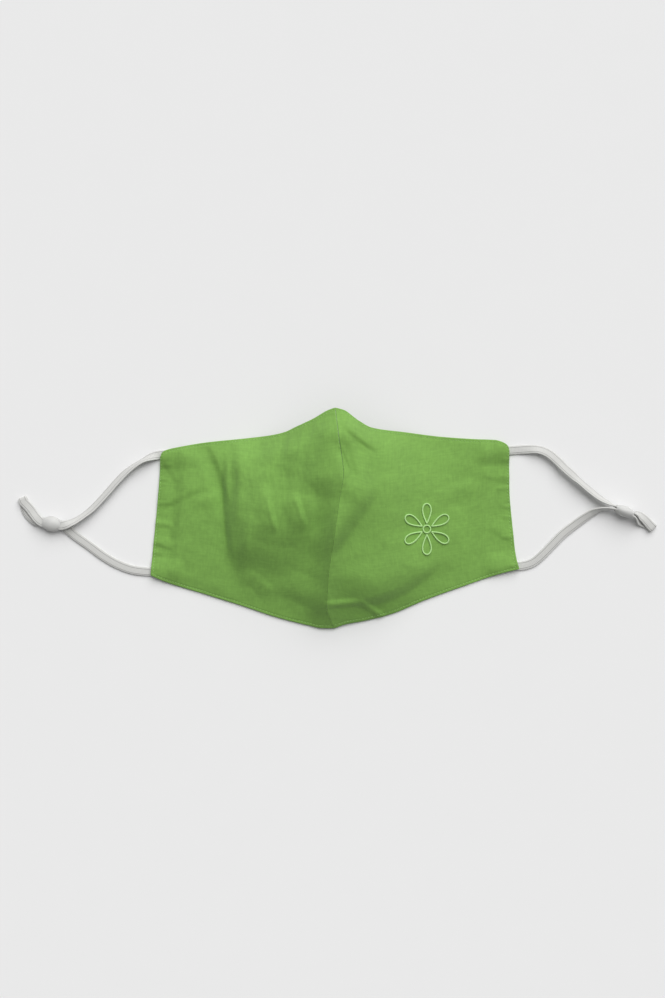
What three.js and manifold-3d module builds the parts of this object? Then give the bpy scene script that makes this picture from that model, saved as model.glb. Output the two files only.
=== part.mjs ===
// A shaped cloth face mask lying on a table, outer side up.
// Millimetres, +X from ear to ear, +Y towards the nose edge, +Z up, the table is z = 0.
// Two sewn cloth panels meet at a curved seam down the middle and stand up as a hollow shell.
// A flat elastic ear loop runs from each panel's top corner through an oval adjuster bead,
// folds back at its tip, and returns through the bead to the bottom corner.
import * as THREE from 'three';
import { mergeVertices } from 'three/addons/utils/BufferGeometryUtils.js';
import Module from 'manifold-3d';

// ---------------------------------------------------------------- driving dimensions

const CLOTH_WALL = 1.4;         // two layers of cotton, sewn and pressed
const SEAM_GAP = 0.3;           // between the two panels along the middle seam
const PANEL_CELLS_ACROSS = 32;  // cells from the side edge to the middle seam
const PANEL_CELLS_UP = 32;      // cells from the chin edge to the nose edge
const HEM_WIDTH = 2.2;          // first and last cells: the stitched border
const FLAT_HEM = { share: 0.075, from: 0.16, to: 0.8 }; // side border that lies flat on the table

const STRAP_WIDTH = 5.5;
const STRAP_THICKNESS = 1.3;
const STRAP_EDGE = 0.35;        // chamfer along the strap's four long edges
const STRAP_STEP = 6;           // usual step along a strap
const STRAP_TWIST_STEP = 12;    // most degrees of roll in one step
const FOLD_STEPS = 6;           // steps round the folded tip

const BEAD_LENGTH = 11.2;
const BEAD_WIDTH = 9.4;
const BEAD_HEIGHT = 6.6;
const BEAD_END_SHARE = 0.62;    // size of the bead's ends compared with its middle
const BEAD_RINGS = 8;
const BEAD_SIDES = 16;
const SLOT_WIDTH = 6.2;
const SLOT_HEIGHT = 3.7;

// ---------------------------------------------------------------- outline in plan
// share: the way along the line; x, y: the point there

const MIDDLE_SEAM = [ // from the chin edge up to the nose edge
  { share: 0.00, x: -0.8, y: -67.6 },
  { share: 0.10, x: -5.0, y: -53.5 },
  { share: 0.25, x: -4.0, y: -34.0 },
  { share: 0.40, x: -1.0, y: -14.0 },
  { share: 0.60, x: 2.6, y: 12.0 },
  { share: 0.72, x: 5.0, y: 28.0 },
  { share: 0.86, x: 2.2, y: 49.6 },
  { share: 1.00, x: 0.0, y: 67.6 },
];

const LEFT_OUTLINE = {
  side: [ // from the chin corner up to the nose corner
    { share: 0.00, x: -113.8, y: -34.8 },
    { share: 0.10, x: -113.3, y: -27.0 },
    { share: 0.35, x: -111.5, y: -8.0 },
    { share: 0.70, x: -109.0, y: 19.0 },
    { share: 1.00, x: -107.8, y: 38.4 },
  ],
  nose: [ // from the side corner in to the seam
    { share: 0.00, x: -107.8, y: 38.4 },
    { share: 0.03, x: -106.3, y: 41.5 },
    { share: 0.06, x: -102.8, y: 43.1 },
    { share: 0.10, x: -97.5, y: 44.3 },
    { share: 0.25, x: -81.0, y: 47.2 },
    { share: 0.50, x: -54.0, y: 50.0 },
    { share: 0.66, x: -37.0, y: 52.0 },
    { share: 0.72, x: -30.5, y: 53.5 },
    { share: 0.78, x: -24.0, y: 56.4 },
    { share: 0.88, x: -13.0, y: 61.3 },
    { share: 0.96, x: -4.2, y: 66.2 },
    { share: 1.00, x: 0.0, y: 67.6 },
  ],
  chin: [ // from the side corner in to the seam
    { share: 0.00, x: -113.8, y: -34.8 },
    { share: 0.06, x: -107.0, y: -38.0 },
    { share: 0.30, x: -80.0, y: -46.6 },
    { share: 0.50, x: -57.0, y: -53.8 },
    { share: 0.70, x: -36.0, y: -60.8 },
    { share: 0.85, x: -17.0, y: -65.6 },
    { share: 0.93, x: -8.0, y: -67.5 },
    { share: 1.00, x: -0.8, y: -67.6 },
  ],
};

const RIGHT_OUTLINE = {
  side: [
    { share: 0.00, x: 113.8, y: -30.9 },
    { share: 0.10, x: 112.2, y: -25.0 },
    { share: 0.35, x: 110.0, y: -7.0 },
    { share: 0.70, x: 107.8, y: 20.0 },
    { share: 1.00, x: 107.6, y: 42.5 },
  ],
  nose: [
    { share: 0.000, x: 107.6, y: 42.5 },
    { share: 0.020, x: 106.6, y: 45.4 },
    { share: 0.045, x: 103.5, y: 47.6 },
    { share: 0.080, x: 99.0, y: 48.9 },
    { share: 0.200, x: 87.0, y: 49.4 },
    { share: 0.400, x: 66.0, y: 50.8 },
    { share: 0.600, x: 42.0, y: 53.6 },
    { share: 0.720, x: 29.0, y: 54.8 },
    { share: 0.780, x: 22.0, y: 56.0 },
    { share: 0.850, x: 14.5, y: 59.8 },
    { share: 0.940, x: 5.0, y: 66.4 },
    { share: 1.000, x: 0.0, y: 67.6 },
  ],
  chin: [
    { share: 0.00, x: 113.8, y: -30.9 },
    { share: 0.06, x: 105.0, y: -33.0 },
    { share: 0.30, x: 78.0, y: -42.0 },
    { share: 0.50, x: 56.0, y: -50.0 },
    { share: 0.70, x: 34.0, y: -59.0 },
    { share: 0.85, x: 17.0, y: -63.2 },
    { share: 0.94, x: 7.0, y: -65.0 },
    { share: 1.00, x: -0.8, y: -67.6 },
  ],
};

// ---------------------------------------------------------------- height of the outer face
// Each row is a section from the chin edge up to the nose edge.
// across: its share of the way from the side edge to the middle seam
// heights: the outer face above the table at each share in SECTION_SHARES

const SECTION_SHARES = [0, 0.1, 0.25, 0.45, 0.65, 0.85, 1];

const LEFT_SECTIONS = [
  { across: 0.00, heights: [1.4, 1.4, 1.4, 1.4, 1.4, 1.4, 1.4] },
  { across: 0.08, heights: [1.4, 1.4, 1.4, 1.4, 1.4, 1.4, 1.4] },
  { across: 0.15, heights: [1.4, 3.0, 4.2, 4.8, 4.8, 3.8, 1.4] },
  { across: 0.27, heights: [1.4, 3.4, 5.0, 6.0, 6.4, 5.2, 1.6] },
  { across: 0.39, heights: [1.4, 3.4, 4.8, 6.0, 7.0, 6.0, 1.6] },
  { across: 0.46, heights: [1.4, 3.2, 5.8, 11.6, 15.0, 11.2, 1.8] },
  { across: 0.54, heights: [1.4, 3.8, 9.2, 18.8, 19.8, 13.0, 2.6] },
  { across: 0.70, heights: [1.4, 4.2, 9.8, 19.4, 23.0, 19.5, 9.5] },
  { across: 0.85, heights: [1.6, 5.8, 12.2, 20.2, 27.0, 25.5, 17.0] },
  { across: 0.95, heights: [2.0, 10.0, 17.6, 24.4, 29.8, 29.0, 20.5] },
  { across: 1.00, heights: [2.0, 12.0, 21.5, 28.0, 31.0, 30.0, 22.0] },
];

const RIGHT_SECTIONS = [
  { across: 0.00, heights: [1.4, 1.4, 1.4, 1.4, 1.4, 1.4, 1.4] },
  { across: 0.08, heights: [1.4, 1.4, 1.4, 1.4, 1.4, 1.4, 1.4] },
  { across: 0.15, heights: [1.4, 1.6, 2.0, 2.6, 3.2, 3.6, 1.4] },
  { across: 0.30, heights: [1.4, 2.2, 3.9, 4.8, 4.4, 3.4, 1.8] },
  { across: 0.50, heights: [1.4, 4.6, 8.9, 10.2, 9.2, 6.5, 3.2] },
  { across: 0.70, heights: [1.4, 8.6, 15.6, 18.8, 20.5, 18.5, 11.5] },
  { across: 0.85, heights: [1.6, 10.4, 18.4, 22.2, 26.0, 25.5, 19.0] },
  { across: 0.95, heights: [2.0, 11.5, 20.4, 25.6, 29.6, 29.2, 21.4] },
  { across: 1.00, heights: [2.0, 12.0, 21.5, 28.0, 31.0, 30.0, 22.0] },
];

// ---------------------------------------------------------------- folds
// A fold is a ridge (rise above 0) or a valley (below 0) on the line x0, y0 to x1, y1.
// bow: how far the line's middle swings to its left-hand side
// left, right: how far the fold reaches on each side, so a short reach is the steep side

const FOLDS = [
  { name: 'left bulge edge', x0: -59, y0: -34, x1: -64, y1: 50, bow: 3, rise: 3.2, left: 5, right: 13 },
  { name: 'left valley', x0: -84, y0: 50, x1: -67, y1: -3, bow: 3, rise: -2.0, left: 5, right: 8 },
  { name: 'left ledge', x0: -72, y0: 8, x1: -2, y1: -10, bow: -3, rise: 1.8, left: 24, right: 12 },
  { name: 'outer flute', x0: -37, y0: -10, x1: -43, y1: 20, bow: 0, rise: 1.4, left: 9, right: 4 },
  { name: 'inner flute', x0: -19, y0: -9, x1: -26, y1: 20, bow: 0, rise: 1.8, left: 10, right: 4 },
  { name: 'pocket lip', x0: -26, y0: 29, x1: 26, y1: 20, bow: 2, rise: 3.0, left: 20, right: 15 },
  { name: 'pocket by seam', x0: -8, y0: -20, x1: -11, y1: 26, bow: 0, rise: -1.4, left: 7, right: 10 },
  { name: 'seam foot', x0: -14, y0: -70, x1: -11, y1: 0, bow: 0, rise: -1.0, left: 8, right: 10 },
  { name: 'left lower step', x0: -72, y0: -17, x1: -16, y1: -26, bow: 0, rise: 0.9, left: 16, right: 12 },
  { name: 'left chin edge', x0: -40, y0: -38, x1: 2, y1: -58, bow: 3, rise: 1.6, left: 12, right: 9 },
  { name: 'nose dimple', x0: 13, y0: 18, x1: 3, y1: 52, bow: 0, rise: -1.6, left: 8, right: 5 },
  { name: 'nose bump', x0: -16, y0: 50, x1: 16, y1: 48, bow: 0, rise: 2.0, left: 14, right: 20 },
  { name: 'nose pleat', x0: -24, y0: 8, x1: -26, y1: 56, bow: 0, rise: 0.8, left: 6, right: 6 },
  { name: 'left chin pleat', x0: -58, y0: -32, x1: -36, y1: -50, bow: 2, rise: 0.8, left: 5, right: 8 },
  { name: 'right nose groove', x0: 4, y0: 61, x1: 29, y1: 42, bow: -2, rise: 2.2, left: 10, right: 4 },
  { name: 'right cheek ridge', x0: -12, y0: -26, x1: 26, y1: 29, bow: 0, rise: 3.8, left: 13, right: 9 },
  { name: 'right belly edge', x0: 66, y0: -18, x1: 4, y1: -49, bow: 8, rise: 2.8, left: 8, right: 26 },
  { name: 'right belly foot', x0: 44, y0: -46, x1: 4, y1: -56, bow: 3, rise: -0.8, left: 7, right: 8 },
  { name: 'chin crease', x0: -10, y0: -52.6, x1: 20, y1: -50.5, bow: 0, rise: 1.3, left: 3.5, right: 3 },
  { name: 'chin corner', x0: 14, y0: -49, x1: 32, y1: -62, bow: 0, rise: 1.3, left: 2.5, right: 3.5 },
  { name: 'right cheek pull', x0: 58, y0: 12, x1: 90, y1: 24, bow: 0, rise: 0.9, left: 5, right: 9 },
  { name: 'left cheek bump', x0: -90, y0: 10, x1: -66, y1: 15, bow: 0, rise: 0.8, left: 5, right: 7 },
  { name: 'left side pull', x0: -114, y0: 7, x1: -78, y1: 23, bow: 0, rise: 1.0, left: 14, right: 5 },
  { name: 'left middle pucker', x0: -114, y0: -3, x1: -99, y1: -4, bow: 0, rise: 0.5, left: 5, right: 3 },
  { name: 'left lower pucker', x0: -115, y0: -13, x1: -98, y1: -18, bow: 0, rise: 0.6, left: 6, right: 3 },
  { name: 'right upper pucker', x0: 88, y0: 29, x1: 115, y1: 23, bow: 0, rise: 0.6, left: 8, right: 4 },
  { name: 'right lower pucker', x0: 93, y0: -3, x1: 114, y1: -15, bow: 0, rise: 0.6, left: 8, right: 4 },
  { name: 'left nose corner', x0: -120, y0: 39.6, x1: -84, y1: 39.6, bow: 0, rise: 2.2, left: 10, right: 10 },
  { name: 'left chin end', x0: -126, y0: -32.5, x1: -90, y1: -32.5, bow: 0, rise: 2.2, left: 10, right: 10 },
  { name: 'right nose corner', x0: 120, y0: 42.2, x1: 84, y1: 42.2, bow: 0, rise: 2.2, left: 10, right: 10 },
  { name: 'right chin corner', x0: 125, y0: -29, x1: 89, y1: -29, bow: 0, rise: 2.2, left: 10, right: 10 },
];
const FOLD_END_SHARE = 0.33;    // share of a fold's length over which each end fades

// ---------------------------------------------------------------- ear loops
// Each row is a point that the strap's middle passes.
// lift: the strap's lowest edge above the table
// roll: its lean in degrees, so that above 0 the edge on the left of the way along is higher

const LEFT_STRAP_OUT = [ // from under the nose corner, through the bead, to the tip
  { x: -98.5, y: 39.6, lift: 0, roll: 0 },
  { x: -104.0, y: 39.9, lift: 0, roll: 0 },
  { x: -108.8, y: 39.6, lift: 0, roll: 3 },
  { x: -113.4, y: 38.4, lift: 0, roll: 32 },
  { x: -119.2, y: 35.7, lift: 0, roll: 62 },
  { x: -125.0, y: 32.0, lift: 0, roll: 54 },
  { x: -130.8, y: 27.2, lift: 0, roll: 42 },
  { x: -142.8, y: 13.9, lift: 0, roll: 40 },
  { x: -149.4, y: 6.9, lift: 0, roll: 42 },
  { x: -155.9, y: 1.6, lift: 0.4, roll: 48 },
  { x: -162.2, y: -2.1, lift: 1.7, roll: 40 },
  { x: -168.6, y: -3.9, lift: 3.5, roll: 0 },
  { x: -174.7, y: -2.9, lift: 3.5, roll: 0 },
  { x: -180.8, y: -1.8, lift: 3.5, roll: 0 },
  { x: -183.6, y: 0.5, lift: 2.9, roll: 4 },
  { x: -185.8, y: 3.1, lift: 2.0, roll: 6 },
  { x: -187.6, y: 5.5, lift: 1.6, roll: 6 },
  { x: -189.6, y: 7.9, lift: 1.6, roll: 4 },
  { x: -192.2, y: 10.6, lift: 1.7, roll: 0 },
  { x: -192.9, y: 12.1, lift: 1.7, roll: 0 },
];
const LEFT_STRAP_BACK = [ // from the tip, back through the bead, to under the chin corner
  { x: -192.9, y: 12.1, lift: 0, roll: 0 },
  { x: -192.2, y: 10.6, lift: 0, roll: 0 },
  { x: -192.0, y: 8.0, lift: 0, roll: 0 },
  { x: -190.5, y: 4.1, lift: 0, roll: 0 },
  { x: -187.1, y: 0.4, lift: 0.5, roll: 0 },
  { x: -183.6, y: -1.5, lift: 1.5, roll: 0 },
  { x: -180.8, y: -1.8, lift: 1.8, roll: 0 },
  { x: -174.7, y: -2.9, lift: 1.8, roll: 0 },
  { x: -168.6, y: -3.9, lift: 1.8, roll: 0 },
  { x: -165.0, y: -6.4, lift: 0.9, roll: 0 },
  { x: -161.2, y: -9.9, lift: 0.2, roll: 0 },
  { x: -151.9, y: -16.6, lift: 0, roll: 0 },
  { x: -143.2, y: -23.0, lift: 0, roll: 0 },
  { x: -134.5, y: -28.0, lift: 0, roll: 0 },
  { x: -125.9, y: -31.2, lift: 0, roll: 0 },
  { x: -118.0, y: -32.4, lift: 0, roll: 0 },
  { x: -110.5, y: -32.6, lift: 0, roll: 0 },
  { x: -103.5, y: -32.5, lift: 0, roll: 0 },
];
const RIGHT_STRAP_OUT = [ // the same way round: on edge in the bead, and flat again at the tip
  { x: 98.5, y: 42.1, lift: 0, roll: 0 },
  { x: 104.0, y: 42.2, lift: 0, roll: 0 },
  { x: 110.0, y: 42.5, lift: 0, roll: 0 },
  { x: 117.2, y: 43.0, lift: 0.2, roll: -6 },
  { x: 125.2, y: 42.9, lift: 0.8, roll: -26 },
  { x: 131.0, y: 40.8, lift: 1.6, roll: -20 },
  { x: 137.0, y: 36.0, lift: 2.2, roll: -14 },
  { x: 141.5, y: 31.4, lift: 2.4, roll: -22 },
  { x: 146.4, y: 27.1, lift: 2.2, roll: -24 },
  { x: 151.0, y: 22.9, lift: 1.8, roll: -44 },
  { x: 157.0, y: 17.9, lift: 1.5, roll: -42 },
  { x: 163.3, y: 12.9, lift: 1.5, roll: -52 },
  { x: 168.6, y: 9.8, lift: 1.8, roll: -66 },
  { x: 172.5, y: 7.9, lift: 1.95, roll: -90 },
  { x: 178.3, y: 5.7, lift: 1.95, roll: -90 },
  { x: 184.1, y: 3.5, lift: 1.95, roll: -88 },
  { x: 186.4, y: 2.9, lift: 1.6, roll: -50 },
  { x: 188.5, y: 1.8, lift: 1.4, roll: -30 },
  { x: 190.8, y: 0.1, lift: 1.4, roll: -18 },
  { x: 193.2, y: -2.3, lift: 1.5, roll: -6 },
  { x: 194.9, y: -4.1, lift: 1.7, roll: 0 },
  { x: 196.0, y: -5.2, lift: 1.7, roll: 0 },
];
const RIGHT_STRAP_BACK = [
  { x: 196.0, y: -5.2, lift: 0, roll: 0 },
  { x: 194.9, y: -4.1, lift: 0, roll: 0 },
  { x: 192.5, y: -3.0, lift: 0, roll: 2 },
  { x: 190.0, y: -2.1, lift: 0, roll: 8 },
  { x: 187.8, y: -1.0, lift: 0.2, roll: 26 },
  { x: 185.7, y: 0.5, lift: 1.0, roll: 58 },
  { x: 183.5, y: 1.9, lift: 1.95, roll: 88 },
  { x: 177.7, y: 4.1, lift: 1.95, roll: 90 },
  { x: 171.9, y: 6.3, lift: 1.9, roll: 92 },
  { x: 168.2, y: 6.4, lift: 1.4, roll: 105 },
  { x: 163.4, y: 5.7, lift: 0.7, roll: 122 },
  { x: 158.0, y: 3.3, lift: 0.2, roll: 152 },
  { x: 147.1, y: -4.4, lift: 0, roll: 172 },
  { x: 140.6, y: -9.6, lift: 0, roll: 175 },
  { x: 134.4, y: -15.9, lift: 0, roll: 175 },
  { x: 128.2, y: -22.2, lift: 0, roll: 175 },
  { x: 122.4, y: -26.9, lift: 0, roll: 178 },
  { x: 116.2, y: -28.9, lift: 0, roll: 180 },
  { x: 110.0, y: -29.1, lift: 0, roll: 180 },
  { x: 102.5, y: -29.0, lift: 0, roll: 180 },
];

// heading: the way through the bead in plan, degrees from +X; roll: its turn about that way
const LEFT_BEAD = { x: -174.7, y: -2.9, z: 3.3, heading: 170, roll: 0 };
const RIGHT_BEAD = { x: 178.0, y: 4.9, z: 4.7, heading: -20.8, roll: 90 };

// ---------------------------------------------------------------- smooth tables

// A smooth curve through the points that never swings past them.
function monotone(inputs, outputs) {
  const last = inputs.length - 1;
  const gaps = [];
  const rates = [];
  for (let i = 0; i < last; i++) {
    gaps.push(inputs[i + 1] - inputs[i]);
    rates.push((outputs[i + 1] - outputs[i]) / gaps[i]);
  }
  const slopes = [rates[0]];
  for (let i = 1; i < last; i++) {
    const turns = rates[i - 1] * rates[i] <= 0;
    const before = 2 * gaps[i] + gaps[i - 1];
    const after = gaps[i] + 2 * gaps[i - 1];
    slopes.push(turns ? 0 : (before + after) / (before / rates[i - 1] + after / rates[i]));
  }
  slopes.push(rates[last - 1]);
  return (value) => {
    let i = 0;
    while (i < last - 1 && value > inputs[i + 1]) i++;
    const t = (value - inputs[i]) / gaps[i];
    const rest = 1 - t;
    return outputs[i] * (1 + 2 * t) * rest * rest
      + outputs[i + 1] * t * t * (3 - 2 * t)
      + gaps[i] * (slopes[i] * t * rest * rest - slopes[i + 1] * t * t * rest);
  };
}

function smoothLine(rows) {
  const shares = rows.map((row) => row.share);
  const x = monotone(shares, rows.map((row) => row.x));
  const y = monotone(shares, rows.map((row) => row.y));
  return (share) => new THREE.Vector2(x(share), y(share));
}

// ---------------------------------------------------------------- cloth surface

function foldHeight(x, y) {
  let height = 0;
  for (const fold of FOLDS) {
    const dx = fold.x1 - fold.x0;
    const dy = fold.y1 - fold.y0;
    const length = Math.hypot(dx, dy);
    const along = ((x - fold.x0) * dx + (y - fold.y0) * dy) / (length * length);
    if (along <= 0 || along >= 1) continue;
    const sideways = ((y - fold.y0) * dx - (x - fold.x0) * dy) / length - 4 * fold.bow * along * (1 - along);
    const reach = sideways > 0 ? fold.left : fold.right;
    const out = Math.abs(sideways) / reach;
    if (out >= 1) continue;
    const ends = THREE.MathUtils.smoothstep(along, 0, FOLD_END_SHARE)
      * THREE.MathUtils.smoothstep(1 - along, 0, FOLD_END_SHARE);
    height += fold.rise * ends * (1 - out * out) ** 2;
  }
  return height;
}

// The outline's four lines are blended into one patch, so every grid line runs edge to edge.
function clothSurface(outline, sections, seamShift) {
  const side = smoothLine(outline.side);
  const nose = smoothLine(outline.nose);
  const chin = smoothLine(outline.chin);
  const seam = smoothLine(MIDDLE_SEAM);
  const across = sections.map((row) => row.across);
  const columns = SECTION_SHARES.map((_, k) => monotone(across, sections.map((row) => row.heights[k])));

  return (u, v) => {
    const plan = new THREE.Vector2()
      .addScaledVector(side(v), 1 - u)
      .addScaledVector(seam(v), u)
      .addScaledVector(chin(u), 1 - v)
      .addScaledVector(nose(u), v)
      .addScaledVector(chin(0), -(1 - u) * (1 - v))
      .addScaledVector(nose(0), -(1 - u) * v)
      .addScaledVector(chin(1), -u * (1 - v))
      .addScaledVector(nose(1), -u * v);
    const section = monotone(SECTION_SHARES, columns.map((column) => column(u)));
    const height = section(v) + foldHeight(plan.x, plan.y);
    return new THREE.Vector3(plan.x + seamShift * u, plan.y, Math.max(height, CLOTH_WALL));
  };
}

// Grid shares from 0 to 1 whose first and last cells are the narrow stitched border.
function gridShares(cells, borderShare) {
  const shares = [0];
  for (let i = 0; i <= cells - 2; i++) {
    shares.push(borderShare + (1 - 2 * borderShare) * i / (cells - 2));
  }
  shares.push(1);
  return shares;
}

// The inner face lies one wall below the outer one, square to it, and never below the table.
function innerHeight(surface, u, v, outer) {
  const step = 0.004;
  const ahead = surface(Math.min(u + step, 1), v).sub(surface(Math.max(u - step, 0), v));
  const up = surface(u, Math.min(v + step, 1)).sub(surface(u, Math.max(v - step, 0)));
  const normal = ahead.cross(up).normalize();
  const inner = outer.z - CLOTH_WALL / Math.abs(normal.z);
  const flat = u < FLAT_HEM.share && v > FLAT_HEM.from && v < FLAT_HEM.to;
  return flat ? 0 : Math.max(inner, 0);
}

function clothPanel(outline, sections, seamShift) {
  const surface = clothSurface(outline, sections, seamShift);
  const panelLength = Math.abs(outline.side[2].x);
  const middleHeight = MIDDLE_SEAM[MIDDLE_SEAM.length - 1].y - MIDDLE_SEAM[0].y;
  const us = gridShares(PANEL_CELLS_ACROSS, HEM_WIDTH / panelLength);
  const vs = gridShares(PANEL_CELLS_UP, HEM_WIDTH / middleHeight);
  const columns = vs.length;
  const layer = us.length * columns;
  const points = [];
  const innerPoints = [];
  for (const u of us) {
    for (const v of vs) {
      const outer = surface(u, v);
      points.push(outer.x, outer.y, outer.z);
      innerPoints.push(outer.x, outer.y, innerHeight(surface, u, v, outer));
    }
  }
  points.push(...innerPoints);

  const faces = [];
  const quad = (a, b, c, d) => faces.push(a, b, c, a, c, d);
  const at = (i, j) => i * columns + j;
  const lastU = us.length - 1;
  const lastV = columns - 1;
  for (let i = 0; i < lastU; i++) {
    for (let j = 0; j < lastV; j++) {
      quad(at(i, j), at(i + 1, j), at(i + 1, j + 1), at(i, j + 1));
      quad(layer + at(i, j), layer + at(i, j + 1), layer + at(i + 1, j + 1), layer + at(i + 1, j));
    }
    quad(at(i + 1, 0), at(i, 0), layer + at(i, 0), layer + at(i + 1, 0));
    quad(at(i, lastV), at(i + 1, lastV), layer + at(i + 1, lastV), layer + at(i, lastV));
  }
  for (let j = 0; j < lastV; j++) {
    quad(at(0, j), at(0, j + 1), layer + at(0, j + 1), layer + at(0, j));
    quad(at(lastU, j + 1), at(lastU, j), layer + at(lastU, j), layer + at(lastU, j + 1));
  }
  // The right-hand panel runs from +X inwards, so its faces are turned over.
  if (outline.side[0].x > 0) {
    for (let i = 0; i < faces.length; i += 3) {
      [faces[i + 1], faces[i + 2]] = [faces[i + 2], faces[i + 1]];
    }
  }
  return indexedGeometry(points, faces);
}

function indexedGeometry(points, faces) {
  const geometry = new THREE.BufferGeometry();
  geometry.setAttribute('position', new THREE.Float32BufferAttribute(points, 3));
  geometry.setIndex(faces);
  geometry.computeVertexNormals();
  return geometry;
}

// ---------------------------------------------------------------- straps

function strapHalfHeight(rollRadians) {
  return STRAP_WIDTH / 2 * Math.abs(Math.sin(rollRadians))
    + STRAP_THICKNESS / 2 * Math.abs(Math.cos(rollRadians));
}

// Points with their roll, a few millimetres apart, on a smooth line through the rows.
function strapStations(rows) {
  const curve = new THREE.CatmullRomCurve3(rows.map((row) => new THREE.Vector3(row.x, row.y, 0)));
  const index = rows.map((_, i) => i);
  const lift = monotone(index, rows.map((row) => row.lift));
  const roll = monotone(index, rows.map((row) => THREE.MathUtils.degToRad(row.roll)));
  const stations = [];
  for (let i = 0; i < rows.length - 1; i++) {
    const length = Math.hypot(rows[i + 1].x - rows[i].x, rows[i + 1].y - rows[i].y);
    const twist = Math.abs(rows[i + 1].roll - rows[i].roll);
    const steps = Math.max(1, Math.round(length / STRAP_STEP), Math.ceil(twist / STRAP_TWIST_STEP));
    const final = i === rows.length - 2 ? 1 : 0;
    for (let k = 0; k < steps + final; k++) {
      const place = i + k / steps;
      const point = curve.getPoint(place / (rows.length - 1));
      const turn = roll(place);
      point.z = lift(place) + strapHalfHeight(turn);
      stations.push({ point, roll: turn });
    }
  }
  return stations;
}

// The strap turns down and back under itself about a level line across its tip.
function foldedTip(outStations, backStations) {
  const top = outStations[outStations.length - 1].point;
  const bottom = backStations[0].point;
  const before = outStations[outStations.length - 2].point;
  const after = backStations[1].point;
  const heading = top.clone().sub(before).normalize()
    .add(bottom.clone().sub(after).normalize());
  heading.z = 0;
  heading.normalize();
  const radius = (top.z - bottom.z) / 2;
  const tip = [];
  for (let i = 1; i < FOLD_STEPS; i++) {
    const angle = Math.PI * i / FOLD_STEPS;
    const point = top.clone().addScaledVector(heading, radius * Math.sin(angle));
    point.z = top.z - radius * (1 - Math.cos(angle));
    tip.push({ point, roll: 0 });
  }
  return [...outStations, ...tip, ...backStations];
}

function strapSection() {
  const w = STRAP_WIDTH / 2;
  const t = STRAP_THICKNESS / 2;
  const e = STRAP_EDGE;
  return [
    [w, t - e], [w - e, t], [-w + e, t], [-w, t - e],
    [-w, -t + e], [-w + e, -t], [w - e, -t], [w, -t + e],
  ];
}

function strap(stations) {
  const section = strapSection();
  const sides = section.length;
  const up = new THREE.Vector3(0, 0, 1);
  const steepest = 0.25;
  let across = null;
  const points = [];
  stations.forEach(({ point, roll }, i) => {
    const next = stations[Math.min(i + 1, stations.length - 1)].point;
    const last = stations[Math.max(i - 1, 0)].point;
    const tangent = next.clone().sub(last).normalize();
    const level = up.clone().cross(tangent);
    if (across === null) {
      across = level.clone().normalize();
    } else if (level.length() > steepest) {
      level.normalize();
      across = level.dot(across) < 0 ? level.negate() : level;
    }
    const width = across.clone().applyAxisAngle(tangent, roll);
    const normal = tangent.clone().cross(width).normalize();
    for (const [w, t] of section) {
      const corner = point.clone().addScaledVector(width, w).addScaledVector(normal, t);
      points.push(corner.x, corner.y, corner.z);
    }
  });
  const faces = [];
  for (let i = 0; i < stations.length - 1; i++) {
    for (let k = 0; k < sides; k++) {
      const a = i * sides + k;
      const b = i * sides + (k + 1) % sides;
      faces.push(a, b + sides, a + sides, a, b, b + sides);
    }
  }
  const end = (stations.length - 1) * sides;
  for (let k = 1; k < sides - 1; k++) {
    faces.push(0, k + 1, k);
    faces.push(end, end + k, end + k + 1);
  }
  return indexedGeometry(points, faces);
}

// ---------------------------------------------------------------- adjuster beads

function toSolid(wasm, geometry) {
  const bare = geometry.clone();
  bare.deleteAttribute('normal');
  bare.deleteAttribute('uv');
  const merged = mergeVertices(bare);
  return new wasm.Manifold(new wasm.Mesh({
    numProp: 3,
    vertProperties: merged.attributes.position.array,
    triVerts: Uint32Array.from(merged.index.array),
  }));
}

function fromSolid(solid) {
  const mesh = solid.getMesh();
  return indexedGeometry(Array.from(mesh.vertProperties), Array.from(mesh.triVerts));
}

// A barrel along X with an oval section and rounded ends.
function beadBody() {
  const profile = [new THREE.Vector2(0, -BEAD_LENGTH / 2)];
  for (let i = 0; i <= BEAD_RINGS; i++) {
    const along = 2 * i / BEAD_RINGS - 1;
    const size = BEAD_END_SHARE + (1 - BEAD_END_SHARE) * (1 - along ** 2);
    profile.push(new THREE.Vector2(BEAD_WIDTH / 2 * size, along * BEAD_LENGTH / 2));
  }
  profile.push(new THREE.Vector2(0, BEAD_LENGTH / 2));
  const body = new THREE.LatheGeometry(profile, BEAD_SIDES);
  body.rotateZ(-Math.PI / 2);
  body.scale(1, 1, BEAD_HEIGHT / BEAD_WIDTH);
  return body;
}

function beadSlot() {
  const w = SLOT_WIDTH / 2;
  const h = SLOT_HEIGHT / 2;
  const round = h * 0.6;
  const outline = new THREE.Shape();
  outline.moveTo(-w + round, -h);
  outline.lineTo(w - round, -h);
  outline.quadraticCurveTo(w, -h, w, -h + round);
  outline.lineTo(w, h - round);
  outline.quadraticCurveTo(w, h, w - round, h);
  outline.lineTo(-w + round, h);
  outline.quadraticCurveTo(-w, h, -w, h - round);
  outline.lineTo(-w, -h + round);
  outline.quadraticCurveTo(-w, -h, -w + round, -h);
  const length = BEAD_LENGTH * 2;
  const slot = new THREE.ExtrudeGeometry(outline, { depth: length, bevelEnabled: false, curveSegments: 2 });
  slot.translate(0, 0, -length / 2);
  slot.rotateX(Math.PI / 2);
  slot.rotateZ(Math.PI / 2);
  return slot;
}

function beadGeometry(wasm) {
  return fromSolid(toSolid(wasm, beadBody()).subtract(toSolid(wasm, beadSlot())));
}

// ---------------------------------------------------------------- the mask

const wasm = await Module();
wasm.setup();

const cloth = { color: 0x749e4e, roughness: 0.85, metalness: 0 };
const elastic = { color: 0xdcdcd8, roughness: 0.8, metalness: 0 };
const silicone = { color: 0xdededa, roughness: 0.5, metalness: 0 };

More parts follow.
